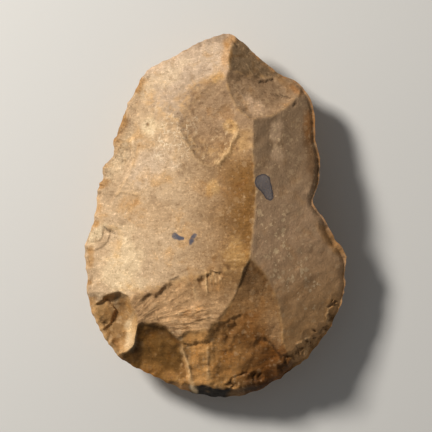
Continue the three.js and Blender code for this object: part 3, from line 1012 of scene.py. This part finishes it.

# %% [markdown]
# ## Patina and painted shade
#
# Each flake scar was open to the ground for a different time, so each has its own tint. On top of that lie
# cream, ochre and brown patches that pay no heed to the ridges, and in a few hollows, under rims and on
# walls that face away from the lamp the colour is darkened as painted shade. The tints are mixed by the
# scars' weights, stored on the vertices as one colour, and broken up later by the material.


# %% Tints of the scars
def paint(red, green, blue):
    """A screen colour from 0 to 255, turned into the linear values that the shader uses."""
    value = np.array([red, green, blue]) / 255
    return np.where(value <= 0.04045, value / 12.92, ((value + 0.055) / 1.055) ** 2.4)


SCAR_TINTS = {
    "left_face": paint(190, 160, 125),
    "right_upper": paint(154, 125, 95),
    "right_middle": paint(196, 159, 124),
    "right_lower": paint(200, 152, 100),
    "brow": paint(190, 164, 137),
    "snout": paint(190, 164, 137),
    "bowl": paint(151, 121, 90),
    "tip": paint(122, 98, 71),
    "shoulder": paint(158, 127, 95),
    # the triangle's tint is brown stone darkened further by painted shade
    "triangle": paint(158, 117, 74),
    "step": paint(179, 141, 100),
    "corner": paint(174, 134, 86),
    "butt_left": paint(120, 84, 40),
    "butt_strip": paint(197, 145, 86),
    "butt_middle": paint(196, 145, 86),
    "butt_right": paint(106, 59, 12),
}
patina_and_shade = sum(weight_of[name][:, None] * tint for name, tint in SCAR_TINTS.items())
print(len(SCAR_TINTS), "tints mixed, from", patina_and_shade.min(0).round(2), "to", patina_and_shade.max(0).round(2))

# %% [markdown]
# ### Stains along the ridge
#
# Left of the long ridge the stone is stained ochre, more strongly the nearer it is. The head of the
# triangle is painted darker brown, which is painted shade. A texture couldn't know where the ridge is,
# so the stain is worked out from the distance to it.

# %% Stain beside the ridge, and painted shade at the head of the triangle
UMBER = paint(98, 72, 46)
RIDGE_OCHRE = paint(120, 80, 27)
RIDGE_X = 11.5
RIDGE_SWELL = 3.0
SWELL_Y = 4
SWELL_LENGTH = 18
WARMTH = 0.95
STEP_WARMTH = 0.65
HEAD_PAINTED_SHADE = 0.6
STAIN_WANDER = 2.0


def tinted(ground, colour, share):
    """Ground and colour mixed at each point: ground times one less the share, plus colour times the share."""
    return ground * (1 - share[:, None]) + colour * share[:, None]


ridge_line = RIDGE_X + RIDGE_SWELL * np.exp(-((y - SWELL_Y) / SWELL_LENGTH) ** 2)
beside_ridge = x - ridge_line + STAIN_WANDER * lattice_noise(x, y, 7, 411)
warm_scars = weight_of["left_face"] + weight_of["bowl"] + STEP_WARMTH * weight_of["step"]
warming = eased(beside_ridge, -34, -2) * eased(-y, -36, -14) * eased(y, -34, -20)
patina_and_shade = tinted(patina_and_shade, RIDGE_OCHRE, WARMTH * warming * warm_scars)
from_head = -y + STAIN_WANDER * lattice_noise(x, y, 4, 412)
patina_and_shade = tinted(patina_and_shade, UMBER, HEAD_PAINTED_SHADE * weight_of["triangle"] * (1 - eased(from_head, 18, 32)))
print("tinted", round(100 * (warming * warm_scars).mean()), "% of the face along the ridge")

# %% [markdown]
# ### Patches
#
# The other patches are ellipses with ragged rims. Most are stains; the dark ones marked below are painted
# shade. They could be painted by hand on a texture, but a short list of named patches is easier to change.

# %% Patches of patina and of painted shade
OCHRE = paint(166, 118, 62)
GOLD = paint(200, 158, 100)
CREAM = paint(226, 200, 160)
BROWN = paint(116, 80, 44)
# a dark brown for painted shade
PAINTED_SHADE = paint(58, 38, 20)
RUST = paint(176, 112, 46)
ORANGE = paint(196, 138, 66)
MILK = paint(208, 186, 164)
TAN = paint(172, 128, 76)
BUFF = paint(198, 164, 130)
SIENNA = paint(122, 76, 28)
# nearly black, for painted shadow
SHADOW_BLACK = paint(8, 5, 3)
FAWN = paint(168, 135, 98)
# Patches: middle, half length and half width in mm, turn in degrees, colour, strength
PATCHES = {
    "gold_foot": ((7, -13), 6, 5, 20, GOLD, 0.4),
    "gold_spot": ((-1.5, 9.6), 3.2, 2.8, 20, GOLD, 0.5),
    "gold_ring": ((5.3, 31), 2.6, 2.4, 0, GOLD, 0.6),
    "pale_ring": ((-23.5, 31.7), 5.0, 4.4, 30, CREAM, 0.9),
    "pale_ring_pit": ((-24, 32), 0.9, 0.9, 0, BROWN, 0.8),
    "gold_ring_pit": ((5.3, 31), 1.0, 1.0, 0, BROWN, 0.6),
    "brow_facet": ((0.7, 48.4), 3.6, 1.8, 35, GOLD, 0.7),
    "bowl_brown": ((-5.6, 23.4), 8, 4.4, -42, UMBER, 0.4),
    "lip_gold": ((10, 26.7), 5, 2.4, 70, GOLD, 0.35),
    "corner_flank": ((-30.3, -42), 7.5, 2.2, 86, CREAM, 0.75),
    "pale_cheek": ((-34, 20), 12, 4, 68, CREAM, 0.35),
    "ochre_cheek": ((-36, 27), 12, 4, 64, OCHRE, 0.35),
    "pale_flank": ((-33, -18), 15, 9, 80, CREAM, 0.6),
    "pale_left": ((-23, 17), 11, 7, 30, MILK, 0.3),
    "curl_pale": ((-42.4, -7), 5, 3.2, 60, CREAM, 0.9),
    "curl_ochre": ((-44.2, -15), 5, 1.6, 85, TAN, 0.7),
    "hip_gold": ((41.4, -9.8), 9, 2.2, -48, ORANGE, 0.5),
    "left_middle": ((-22, 0), 12, 6, 10, OCHRE, 0.15),
    "temple_cream": ((-20, 48), 14, 4, 32, CREAM, 0.3),
    # painted shade where the tip's facet turns away from the lamp
    "tip_shade": ((12.5, 48.8), 9.5, 2.2, 8, UMBER, 0.4),
    "tip_rust": ((4.8, 62), 3.0, 2.0, 40, ORANGE, 0.6),
    "tip_gold": ((3.2, 54.4), 6.5, 2.2, 78, ORANGE, 0.45),
    "shallow_gold": ((-31, 4.6), 6.5, 2.6, 20, TAN, 0.4),
    "shoulder_rust": ((29, 44), 5, 2.0, -45, RUST, 0.5),
    "shoulder_crescent": ((13.2, 38.6), 7.5, 3.6, -18, BUFF, 0.8),
    "right_rim": ((34.6, 25), 17, 3.6, 92, BROWN, 0.6),
    "right_streak": ((21.4, 29.6), 6, 2.5, 84, BUFF, 1.0),
    "right_cloud": ((21.4, 22), 4.0, 2.8, 80, BUFF, 0.9),
    "right_rust": ((32.8, 32), 6.5, 1.9, 95, RUST, 0.35),
    "toe_brown": ((5, -40), 8, 6, 20, BROWN, 0.45),
    "butt_rust": ((2, -53), 8, 5, 75, RUST, 0.3),
    "butt_foot": ((-18, -56), 10, 3, -26, OCHRE, 0.6),
    # painted shade under the rim of the dark scar on the left of the butt
    "butt_left_top": ((-19, -41.5), 9, 3.5, -12, PAINTED_SHADE, 0.45),
    # painted shade under the steep rim of the corner scar and on its floor, which face away from the lamp
    "corner_wall": ((-33.4, -31.4), 5.0, 2.8, 112, UMBER, 0.6),
    "corner_floor": ((-35, -38), 4, 2.6, 80, UMBER, 0.25),
    "triangle_foot": ((12, -41), 9, 6, 0, SIENNA, 0.6),
    # painted shade on the left side of that scar
    "butt_left_side": ((-28.5, -49), 5, 3.0, 60, PAINTED_SHADE, 0.6),
    "heel_rim": ((40.6, -34), 9, 2.4, 75, OCHRE, 0.4),
    "heel_fawn": ((20.8, -40), 9, 3.2, -74, FAWN, 0.4),
    "butt_arc": ((19.2, -48), 6, 1.8, -42, SIENNA, 0.6),
    # painted shade at the foot of the butt, which faces away from the lamp
    "butt_foot_dark": ((12.5, -60.8), 8, 2.4, 10, PAINTED_SHADE, 0.6),
    "heel_brown": ((24, -54), 8, 4, 35, BROWN, 0.5),
    # painted shade in the hollow at the foot of the butt, and a painted shadow in the notch below it
    "butt_hollow": ((11, -58.6), 9, 2.2, 15, PAINTED_SHADE, 0.45),
    "butt_notch": ((4.2, -62.4), 2.6, 1.7, 10, SHADOW_BLACK, 0.9),
}
# Ragged rim of a patch: noises as shares of its size, with cell size in mm and seed
PATCH_RIM = [(0.35, 3.5, 401), (0.2, 1.4, 402)]


def patch_weight(centre, half_length, half_width, turn, strength):
    """Strength inside a noise-edged ellipse, falling smoothly to nothing at its rim."""
    reach = ellipse(centre, half_length, half_width, turn) + uneven(PATCH_RIM, x, y)
    return strength * (1 - eased(reach, 0.35, 1.15))


for *form, colour, strength in PATCHES.values():
    patina_and_shade = tinted(patina_and_shade, colour, patch_weight(*form, strength))
print(len(PATCHES), "patches laid over the tints")

# %% [markdown]
# ### Along the margin
#
# Chips on the left side show tan stone. Where the bevel cuts below the scars, at the tip and along the butt,
# the wall is painted darker, and at the foot of the butt nearly black: painted shade and painted shadow on
# walls that face away from the lamp. One pale tooth stands beside that.

# %% Tan chips, the painted shadow in the recess and the pale tooth
CHIP_TAN = 0.85
RECESS_SHADOW = 0.98
RECESS_SIDE_SHADOW = 0.6
TOOTH = ((-7.8, -62.4), 2.2, 1.1, -42, 1.0)
fresh = eased(-chip_relief, 0.1, 0.6) * eased(-x, 15, 28) * (1 - eased(edge_distance, 1.2, 4.0))
patina_and_shade = tinted(patina_and_shade, TAN, CHIP_TAN * fresh * eased(lattice_noise(x, y, 3.0, 413), -0.1, 0.4))
# painted shadow on the steep wall at the foot of the butt, and lighter painted shade wherever the bevel cuts
# below the scars
over_bevel = lowest_floor - bevel
recess_shadow = eased(over_bevel, -0.2, 0.3) * eased(x, -10.5, -8) * eased(-x, -9, -3) * eased(-y, 50, 56)
recess_side_shadow = eased(over_bevel, -0.2, 0.6) * eased(x, -9, -7) * eased(-x, -22, -16)
recess_shadow = np.maximum(recess_shadow, RECESS_SIDE_SHADOW * recess_side_shadow)
patina_and_shade = tinted(patina_and_shade, SHADOW_BLACK, RECESS_SHADOW * recess_shadow)
patina_and_shade = tinted(patina_and_shade, CREAM, patch_weight(*TOOTH))
print("patina from", patina_and_shade.min(0).round(2), "to", patina_and_shade.max(0).round(2))

# %% [markdown]
# ## Wear, ink and other marks
#
# These are stored as plain numbers on the vertices. Ridges and the margin are rubbed pale or rusty, and
# cracks, chips and pits get painted shade. All of it follows from distances and depths that are already
# known.

# %% Wear, and painted shade in the hollows
RIDGE_WEAR = 0.35
EDGE_WEAR = 0.7
LEFT_WEAR = 0.3
LIP_WEAR = 2
CRACK_SHADE_WIDER = 1.2
CHIP_SHADE = 0.35
PIT_SHADE = 0.8
wear = np.exp(-ridge_gap / RIDGE_WEAR) * eased(edge_distance, 0.6, 2.5)
lips = np.clip(LIP_WEAR * sum(groove(*lip) for lip in PALE_LIPS), 0, 1)
edge_side = LEFT_WEAR + (1 - LEFT_WEAR) * eased(x, 0, 20)
edge_wear = edge_side * (1 - recess_shadow) * np.exp(-edge_distance / EDGE_WEAR)
# painted shade in cracks, chips and pits, darkest in the cracks
dirt = np.zeros(len(x))
for line, _, width, rough, seed in CRACKS:
    dirt -= groove(line, 1, CRACK_SHADE_WIDER * width, rough, seed)
dirt = np.clip(dirt, 0, 1)
dirt = np.maximum(dirt, CHIP_SHADE * eased(-chip_relief, 0.25, 0.9))
dirt = np.maximum(dirt, PIT_SHADE * eased(-pit_relief, 0.1, 0.6))
print("worn", round(100 * wear.mean()), "% and darkened", round(100 * dirt.mean()), "% of the face")

# %% [markdown]
# ### Ink
#
# A grey stain lies on the right face and two small dabs of ink on the left. Each point keeps its distance
# from the edge of the blot. A distance stays sharp when the shader cuts it, even where the grid is coarser
# than the blot's rim.


# %% Ink blots
def blot(line, radius_start, radius_end):
    """Distance outside a tapering blot: the gap to its spine less a radius that changes along it."""
    gap, _, along = line_field(line, 0.25, 501)
    return gap - radius_start - (radius_end - radius_start) * np.clip(along, 0, 1)


stain = blot([(16.6, 11.2), (17.8, 8.5), (19, 6)], 3.0, 1.4)
first_dab = blot([(-14.2, -7.6), (-11.6, -8.6)], 1.0, 0.7)
second_dab = blot([(-7.2, -7.4), (-8.6, -9.8)], 0.7, 0.9)
dabs = np.minimum(first_dab, second_dab)
print("ink covers", int((stain < 0).sum()), "points of the stain and", int((dabs < 0).sum()), "of the dabs")

# %% [markdown]
# ### Flecks and veins
#
# Flint holds pale crumbs of fossil, which crowd in some places and are rare in others. The material will make
# the crumbs, and these numbers say how strongly they show.

# %% Where flecks and veins show
FLECKS_EVERYWHERE = 0.18
FLECKS_BUTT = 0.15
FLECKS_RIGHT = 0.1
RIGHT_BAND = ((23.5, -13), 25, 9, -61, 1.15)
FLECK_PATCHES = {
    "bowl_lip": ((4, 24), 9, 6, 50, 0.35),
    "shoulder_crescent": ((13.2, 38.6), 7.5, 3.6, -18, 0.5),
    "right_streak": ((21.4, 27), 11, 3.2, 86, 0.7),
}
FEWER_FLECKS = {"butt_left": 0.8, "butt_right": 0.5}
VEINED = ((-15.5, 28), 12, 9, 80, 0.7)
fleckiness = FLECKS_EVERYWHERE + FLECKS_BUTT * eased(-y, 34, 44) * (1 - right_share)
fleckiness += right_share * (FLECKS_RIGHT + patch_weight(*RIGHT_BAND))
fleckiness += sum(patch_weight(*patch) for patch in FLECK_PATCHES.values())
fewer = sum(less * weight_of[name] for name, less in FEWER_FLECKS.items())
fleckiness *= (1 - fewer) * (1 - recess_shadow)
veins = patch_weight(*VEINED)
print("fleckiness up to", fleckiness.max().round(2), "and veins up to", veins.max().round(2))

# %% [markdown]
# ### Kept on the mesh
#
# An attribute is a number per vertex that the material can read by name. The lower face has no ink and no
# pale lips, and takes one even value for most of the others.

# %% Store the marks, and the patina with its painted shade
FAR_FROM_INK = 50.0
RIGHT_CALM = 0.5
LOWER_TINT = paint(184, 152, 112)
LOWER_OCHRE = 0.5
# Marks: values on the upper face, and those on the lower face
MARKS = {
    "wear": (wear, 0.0),
    "lips": (lips, 0.0),
    "edge_wear": (edge_wear, np.exp(-lower_distance / EDGE_WEAR)),
    "stain": (stain, FAR_FROM_INK),
    "dabs": (dabs, FAR_FROM_INK),
    "dirt": (dirt, 0.0),
    "fleckiness": (fleckiness, 0.4),
    "hackles": (hackle_zone, 0.0),
    "veins": (veins, 0.5),
    "scratches": (1 - right_share, 0.5),
    "mottle": (1 - RIGHT_CALM * right_share, 1.0),
}
for name, (upper_values, lower_values) in MARKS.items():
    values = np.concatenate([upper_values, np.broadcast_to(lower_values, len(lower_z))])
    mesh.attributes.new(name, "FLOAT", "POINT").data.foreach_set("value", values.astype(np.float32))
lower_cloud = LOWER_OCHRE * eased(lattice_noise(*lower_xy.T, 14, 601), -0.2, 0.8)
colours = np.ones((len(points), 4))
colours[:, :3] = np.vstack([patina_and_shade, tinted(LOWER_TINT, OCHRE, lower_cloud)])
ground_colour_attribute = mesh.color_attributes.new("patina_and_shade", "FLOAT_COLOR", "POINT")
ground_colour_attribute.data.foreach_set("color", colours.astype(np.float32).ravel())
print("stored", [attribute.name for attribute in mesh.attributes if not attribute.is_internal])

# %% [markdown]
# ## The flint material
#
# Old flint is dull and a little waxy, mottled at every size, with pale flecks of fossil in it. One Principled
# shader does this: the stored patina, with its painted shade, is the ground colour, and noise at several
# sizes breaks it up. The helpers below only save typing when nodes are made and joined.

# %% Node helpers
flint = bpy.data.materials.new("flint")
flint.use_nodes = True
nodes, links = flint.node_tree.nodes, flint.node_tree.links
shader = nodes["Principled BSDF"]
coordinates = nodes.new("ShaderNodeTexCoord").outputs["Object"]


def plug(socket, value):
    """Joins an output to a socket, or sets the socket to a plain value."""
    if isinstance(value, bpy.types.NodeSocket):
        links.new(value, socket)
    else:
        socket.default_value = value


def stored(name):
    """A value kept on the vertices."""
    node = nodes.new("ShaderNodeAttribute")
    node.attribute_name = name
    return node.outputs["Color" if name == "patina_and_shade" else "Fac"]


def noise(scale, detail=3.0, roughness=0.55, distortion=0.0, output="Fac", place=coordinates):
    """Noise from 0 to 1 with features about one over the scale in metres."""
    node = nodes.new("ShaderNodeTexNoise")
    plug(node.inputs["Vector"], place)
    plug(node.inputs["Scale"], scale)
    plug(node.inputs["Detail"], detail)
    plug(node.inputs["Roughness"], roughness)
    plug(node.inputs["Distortion"], distortion)
    return node.outputs[output]


def ramp(value, low, high, start=0.0, end=1.0):
    """Smooth step of a value from low to high, giving start to end."""
    node = nodes.new("ShaderNodeMapRange")
    node.interpolation_type = "SMOOTHSTEP"
    plug(node.inputs["Value"], value)
    plug(node.inputs["From Min"], low)
    plug(node.inputs["From Max"], high)
    plug(node.inputs["To Min"], start)
    plug(node.inputs["To Max"], end)
    return node.outputs["Result"]


def sums(operation, first, second):
    """One step of arithmetic on two numbers, by the name that Blender gives it."""
    node = nodes.new("ShaderNodeMath")
    node.operation = operation
    plug(node.inputs[0], first)
    plug(node.inputs[1], second)
    return node.outputs["Value"]


def times(first, second):
    """Two numbers multiplied."""
    return sums("MULTIPLY", first, second)


def layer(ground, colour, share, blend="MIX"):
    """One colour laid over another."""
    node = nodes.new("ShaderNodeMix")
    node.data_type = "RGBA"
    node.blend_type = blend
    plug(node.inputs["Factor"], share)
    plug(node.inputs[6], ground)
    plug(node.inputs[7], colour)
    return node.outputs[2]


def solid(colour):
    """A linear colour with full alpha."""
    return (*[float(part) for part in colour], 1.0)


print("flint starts with", len(nodes), "nodes")

# %% [markdown]
# ### Mottling
#
# Flint is cloudy at every size. Each of three noises changes the ground where it is high and where it is low:
# the broad one warms and darkens it, and the finer ones lighten and darken it. Multiplying keeps the tints of
# the scars, which an even mix would wash out.

# %% Mottling at three sizes
BROAD_CLOUDS = [(0.5, 0.72, (1.0, 0.86, 0.64), 0.8), (0.5, 0.28, (0.7, 0.67, 0.64), 0.9)]
MIDDLE_CLOUDS = [(0.53, 0.78, (1.4, 1.44, 1.5), 0.9), (0.47, 0.22, (0.66, 0.6, 0.54), 0.9)]
FINE_CLOUDS = [(0.56, 0.7, (1.5, 1.5, 1.5), 0.9), (0.44, 0.28, (0.62, 0.57, 0.52), 0.9)]


def broken_up(ground, value, mask, rows):
    """Ground multiplied by colours, where a value is high or low and only as far as the mask goes.

    A row holds where the value starts to count, where it counts in full, the colour and its share.
    """
    for start, full, change, most in rows:
        share = times(mask, ramp(value, start, full, 0.0, most))
        ground = layer(ground, solid(change), share, "MULTIPLY")
    return ground


broad = noise(130, 4.0, 0.6, 0.6)
middle = noise(430, 4.0, 0.6, 0.3)
fine = noise(1500, 3.0, 0.6)
mottle = stored("mottle")
ground = broken_up(stored("patina_and_shade"), broad, mottle, BROAD_CLOUDS)
ground = broken_up(ground, middle, mottle, MIDDLE_CLOUDS)
ground = broken_up(ground, fine, mottle, FINE_CLOUDS)
print("mottled:", len(nodes), "nodes")

# %% [markdown]
# ### Torn crests in the colour
#
# The finest crests of the torn scar are narrower than the grid's steps. So the material makes noise of
# its own in the same polar coordinates: the crests are paler stone with painted highlight on them, and the
# gaps between them are painted shade.

# %% Polar noise around the struck place
TEAR_TINT_AND_SHADE = [(0.51, 0.64, (1.5, 1.5, 1.5), 1.0), (0.49, 0.36, (0.5, 0.44, 0.36), 1.0)]
from_root = nodes.new("ShaderNodeVectorMath")
from_root.operation = "SUBTRACT"
plug(from_root.inputs[0], coordinates)
plug(from_root.inputs[1], (HACKLE_ROOT[0] * MILLIMETRE, HACKLE_ROOT[1] * MILLIMETRE, 0))
root_parts = nodes.new("ShaderNodeSeparateXYZ")
links.new(from_root.outputs["Vector"], root_parts.inputs["Vector"])
across, up = root_parts.outputs["X"], root_parts.outputs["Y"]
root_turn = sums("ARCTAN2", up, across)
root_gap = sums("SQRT", sums("ADD", times(across, across), times(up, up)), 0)
polar = nodes.new("ShaderNodeCombineXYZ")
links.new(times(root_gap, 1 / HACKLE_STRETCH), polar.inputs["X"])
links.new(times(root_turn, HACKLE_REACH * MILLIMETRE), polar.inputs["Y"])
tear = noise(900, 3.0, 0.6, place=polar.outputs["Vector"])
torn_share = stored("hackles")
ground = broken_up(ground, tear, torn_share, TEAR_TINT_AND_SHADE)
print("torn:", len(nodes), "nodes")

# %% [markdown]
# ### Flecks
#
# Voronoi cells scatter the crumbs of fossil. Each cell has random numbers of its own, so most cells stay
# empty and the others hold a crumb of their own size and strength. The places are shaken to make the crumbs
# ragged.

# %% Pale flecks at three sizes
FLECK = solid(paint(228, 194, 150))
FLECK_ROOM = 0.4
FLECK_SHAKE = (1100, 0.0018)
# Flecks: cells in a metre, and the share of the cells that stay nearly empty
FLECK_SIZES = [(360, 0.55), (640, 0.6), (1000, 0.65)]


def shaken(scale, reach):
    """Object coordinates pushed about by noise, so that cells and lines come out ragged."""
    node = nodes.new("ShaderNodeVectorMath")
    node.operation = "MULTIPLY_ADD"
    plug(node.inputs[0], noise(scale, 2.0, output="Color"))
    plug(node.inputs[1], (reach, reach, reach))
    plug(node.inputs[2], coordinates)
    return node.outputs["Vector"]


def cells(scale, place, feature="F1"):
    """Scattered cells: distance to the edge, or to the nearest seed from above, with two random numbers."""
    node = nodes.new("ShaderNodeTexVoronoi")
    node.feature = feature
    node.voronoi_dimensions = "2D" if feature == "F1" else "3D"
    plug(node.inputs["Vector"], place)
    plug(node.inputs["Scale"], scale)
    if feature == "DISTANCE_TO_EDGE":
        return node.outputs["Distance"]
    part = nodes.new("ShaderNodeSeparateColor")
    links.new(node.outputs["Color"], part.inputs["Color"])
    return node.outputs["Distance"], part.outputs["Red"], part.outputs["Green"]


flecked = stored("fleckiness")
for fleck_scale, empty in FLECK_SIZES:
    reach, size, strength = cells(fleck_scale, shaken(*FLECK_SHAKE))
    room = ramp(size, empty, 1.0, 0.0, FLECK_ROOM)
    fleck = ramp(sums("SUBTRACT", room, reach), -0.02, 0.1)
    share = times(fleck, ramp(strength, 0.0, 1.0, 0.25, 0.85))
    ground = layer(ground, FLECK, times(share, flecked))
print("flecked:", len(nodes), "nodes")

# %% [markdown]
# ### Scratches and veins
#
# The stone is finely scratched in one direction. Squeezing the coordinates along that direction draws noise
# out into scratches. Pale veins beside the bowl are the borders between shaken Voronoi cells.

# %% Scratches along one direction
SCRATCH_TURN = math.radians(-58)
SCRATCH_SQUEEZE = 0.12
SCRATCHES = [(0.56, 0.7, (1.35, 1.35, 1.35), 0.7), (0.44, 0.3, (0.7, 0.66, 0.6), 0.7)]
along_scratches = nodes.new("ShaderNodeMapping")
plug(along_scratches.inputs["Vector"], coordinates)
plug(along_scratches.inputs["Rotation"], (0, 0, SCRATCH_TURN))
plug(along_scratches.inputs["Scale"], (SCRATCH_SQUEEZE, 1, 1))
scratch = noise(1500, 3.0, 0.6, 0.2, place=along_scratches.outputs["Vector"])
ground = broken_up(ground, scratch, stored("scratches"), SCRATCHES)
print("scratched:", len(nodes), "nodes")

# %% Pale veins
VEIN = solid(paint(246, 226, 192))
VEIN_WIDTH = 0.06
vein = ramp(cells(260, shaken(420, 0.005), "DISTANCE_TO_EDGE"), VEIN_WIDTH, 0.0)
vein = times(vein, ramp(middle, 0.4, 0.56, 0.3, 1.0))
ground = layer(ground, VEIN, times(vein, stored("veins")))
print("veined:", len(nodes), "nodes")

# %% [markdown]
# ### Wear, painted shade and ink in the colour
#
# The stored marks are laid over the ground last. A noise breaks up each of them, because wear is never even,
# the painted shade in the hollows is broken up in the same way, and the ink has soaked in more at the rim of
# the stain.

# %% Worn ridges, lips and margin, and painted shade in the hollows
# Washes: stored mark, colour, noise, where the noise starts and ends, and the shares there
WASHES = [
    ("wear", paint(206, 160, 102), middle, 0.4, 0.65, 0.0, 0.6),
    ("lips", paint(224, 184, 132), fine, 0.35, 0.6, 0.3, 0.8),
    ("edge_wear", paint(196, 130, 62), middle, 0.4, 0.62, 0.0, 0.6),
    # painted shade in cracks, chips and pits
    ("dirt", paint(52, 34, 18), fine, 0.3, 0.6, 0.9, 0.45),
]
for mark, colour, breaker, *bounds in WASHES:
    ground = layer(ground, solid(colour), times(stored(mark), ramp(breaker, *bounds)))
print("worn:", len(nodes), "nodes")

# %% Ink stain and dabs
STAIN_GREY = solid(paint(112, 110, 114))
STAIN_RIM = solid(paint(44, 44, 54))
DAB_BLUE = solid(paint(52, 66, 88))
stain_edge = stored("stain")
stain_inside = ramp(stain_edge, 0.1, -0.25)
stain_rim = times(stain_inside, ramp(stain_edge, -0.9, -0.1, 0.0, 0.7))
dab_inside = ramp(stored("dabs"), 0.25, -0.35, 0.0, 0.9)
ground = layer(ground, STAIN_GREY, times(stain_inside, ramp(fine, 0.3, 0.7, 0.9, 0.7)))
ground = layer(ground, STAIN_RIM, stain_rim)
ground = layer(ground, DAB_BLUE, times(dab_inside, ramp(middle, 0.3, 0.6, 0.6, 1.0)))
links.new(ground, shader.inputs["Base Color"])
print("inked:", len(nodes), "nodes")

# %% [markdown]
# ### Sheen and grain
#
# Old flint has lost its gloss, so it is rough, a little unevenly, and reflects little. The grain is too
# fine for the mesh. A bump node tilts the light instead, which costs no triangles.

# %% Sheen and grain
SHEEN = 0.15
GRAIN_STRENGTH = 0.55
GRAIN_DEPTH = 0.0004
# Grain: value, and how high it stands
GRAIN = [(fine, 0.6), (noise(4200, 2.0), 0.35), (middle, 0.9), (times(tear, torn_share), 3.5)]
links.new(ramp(middle, 0.3, 0.7, 0.74, 0.6), shader.inputs["Roughness"])
shader.inputs["Specular IOR Level"].default_value = SHEEN
grain = 0.0
for value, height in GRAIN:
    grain = sums("ADD", grain, times(value, height))
bump = nodes.new("ShaderNodeBump")
bump.inputs["Strength"].default_value = GRAIN_STRENGTH
bump.inputs["Distance"].default_value = GRAIN_DEPTH
links.new(grain, bump.inputs["Height"])
links.new(bump.outputs["Normal"], shader.inputs["Normal"])

mesh.materials.append(flint)
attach(flaked_stone, "root")
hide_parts("hand_axe")
print("flint has", len(nodes), "nodes")

# %% [markdown]
# ## Floor, light and camera
#
# The stone lies on a plain pale floor and is seen from straight above. One soft lamp stands to the upper
# left and fairly low, so that every scar shows, and the sky around is dim.

# %% Pale floor
FLOOR_REACH = 1.5
FLOOR_TINT = paint(214, 212, 208)
FLOOR_ROUGHNESS = 0.9
floor_mesh = bpy.data.meshes.new("floor")
floor_corners = [(-FLOOR_REACH, -FLOOR_REACH, 0), (FLOOR_REACH, -FLOOR_REACH, 0),
                 (FLOOR_REACH, FLOOR_REACH, 0), (-FLOOR_REACH, FLOOR_REACH, 0)]
floor_mesh.from_pydata(floor_corners, [], [(0, 1, 2, 3)])
floor = bpy.data.objects.new("floor", floor_mesh)
bpy.context.scene.collection.objects.link(floor)
pale = bpy.data.materials.new("pale_floor")
pale.use_nodes = True
pale_shader = pale.node_tree.nodes["Principled BSDF"]
pale_shader.inputs["Base Color"].default_value = solid(FLOOR_TINT)
pale_shader.inputs["Roughness"].default_value = FLOOR_ROUGHNESS
floor_mesh.materials.append(pale)
print("floor", 2 * FLOOR_REACH, "m wide")

# %% [markdown]
# ### Lamp and sky
#
# A small lamp would cast hard shadows and a large one would hide the scars. An area lamp somewhat wider
# than the stone is long lies between the two. It is placed by its turn around the stone and its lift above
# the floor.

# %% Lamp and sky
LAMP_TURN = math.radians(142)
LAMP_LIFT = math.radians(41)
LAMP_DISTANCE = 0.9
LAMP_SIZE = 0.18
LAMP_POWER = 9.5
LAMP_TINT = (1.0, 0.97, 0.92)
SKY_TINT = (1, 1, 1, 1)
SKY_STRENGTH = 0.15


def aim(thing, target):
    """Turns a lamp or camera so that it looks at a point."""
    away = thing.location - target
    thing.rotation_euler = away.to_track_quat("Z", "Y").to_euler()


lamp_data = bpy.data.lights.new("soft_lamp", "AREA")
lamp_data.size = LAMP_SIZE
lamp_data.energy = LAMP_POWER
lamp_data.color = LAMP_TINT
lamp = bpy.data.objects.new("soft_lamp", lamp_data)
lamp.location = (
    LAMP_DISTANCE * math.cos(LAMP_LIFT) * math.cos(LAMP_TURN),
    LAMP_DISTANCE * math.cos(LAMP_LIFT) * math.sin(LAMP_TURN),
    LAMP_DISTANCE * math.sin(LAMP_LIFT),
)
bpy.context.scene.collection.objects.link(lamp)
aim(lamp, flaked_stone.location)

sky = bpy.data.worlds.new("dim_sky")
sky.use_nodes = True
sky.node_tree.nodes["Background"].inputs["Color"].default_value = SKY_TINT
sky.node_tree.nodes["Background"].inputs["Strength"].default_value = SKY_STRENGTH
bpy.context.scene.world = sky
bpy.context.scene.view_settings.view_transform = "Standard"
print("lamp at", [round(value, 2) for value in lamp.location], "m")

# %% [markdown]
# ### Camera
#
# The camera looks straight down from high above. From there the view is nearly flat, and the lens is worked
# out from the width that the picture should show at the height of the margin.

# %% Camera straight above
PICTURE_WIDTH = 153.86
SENSOR = 36.0
CAMERA_ABOVE_MARGIN = 900.0
CAMERA_X, CAMERA_Y = 0.2, 0.0

camera_data = bpy.data.cameras.new("camera_above")
camera_data.sensor_width = SENSOR
camera_data.lens = SENSOR * CAMERA_ABOVE_MARGIN / PICTURE_WIDTH
camera = bpy.data.objects.new("camera_above", camera_data)
camera.location = (
    CAMERA_X * MILLIMETRE,
    CAMERA_Y * MILLIMETRE,
    (CAMERA_ABOVE_MARGIN + MARGIN_HEIGHT) * MILLIMETRE,
)
bpy.context.scene.collection.objects.link(camera)
bpy.context.scene.camera = camera
print("lens", round(camera_data.lens, 1), "mm")
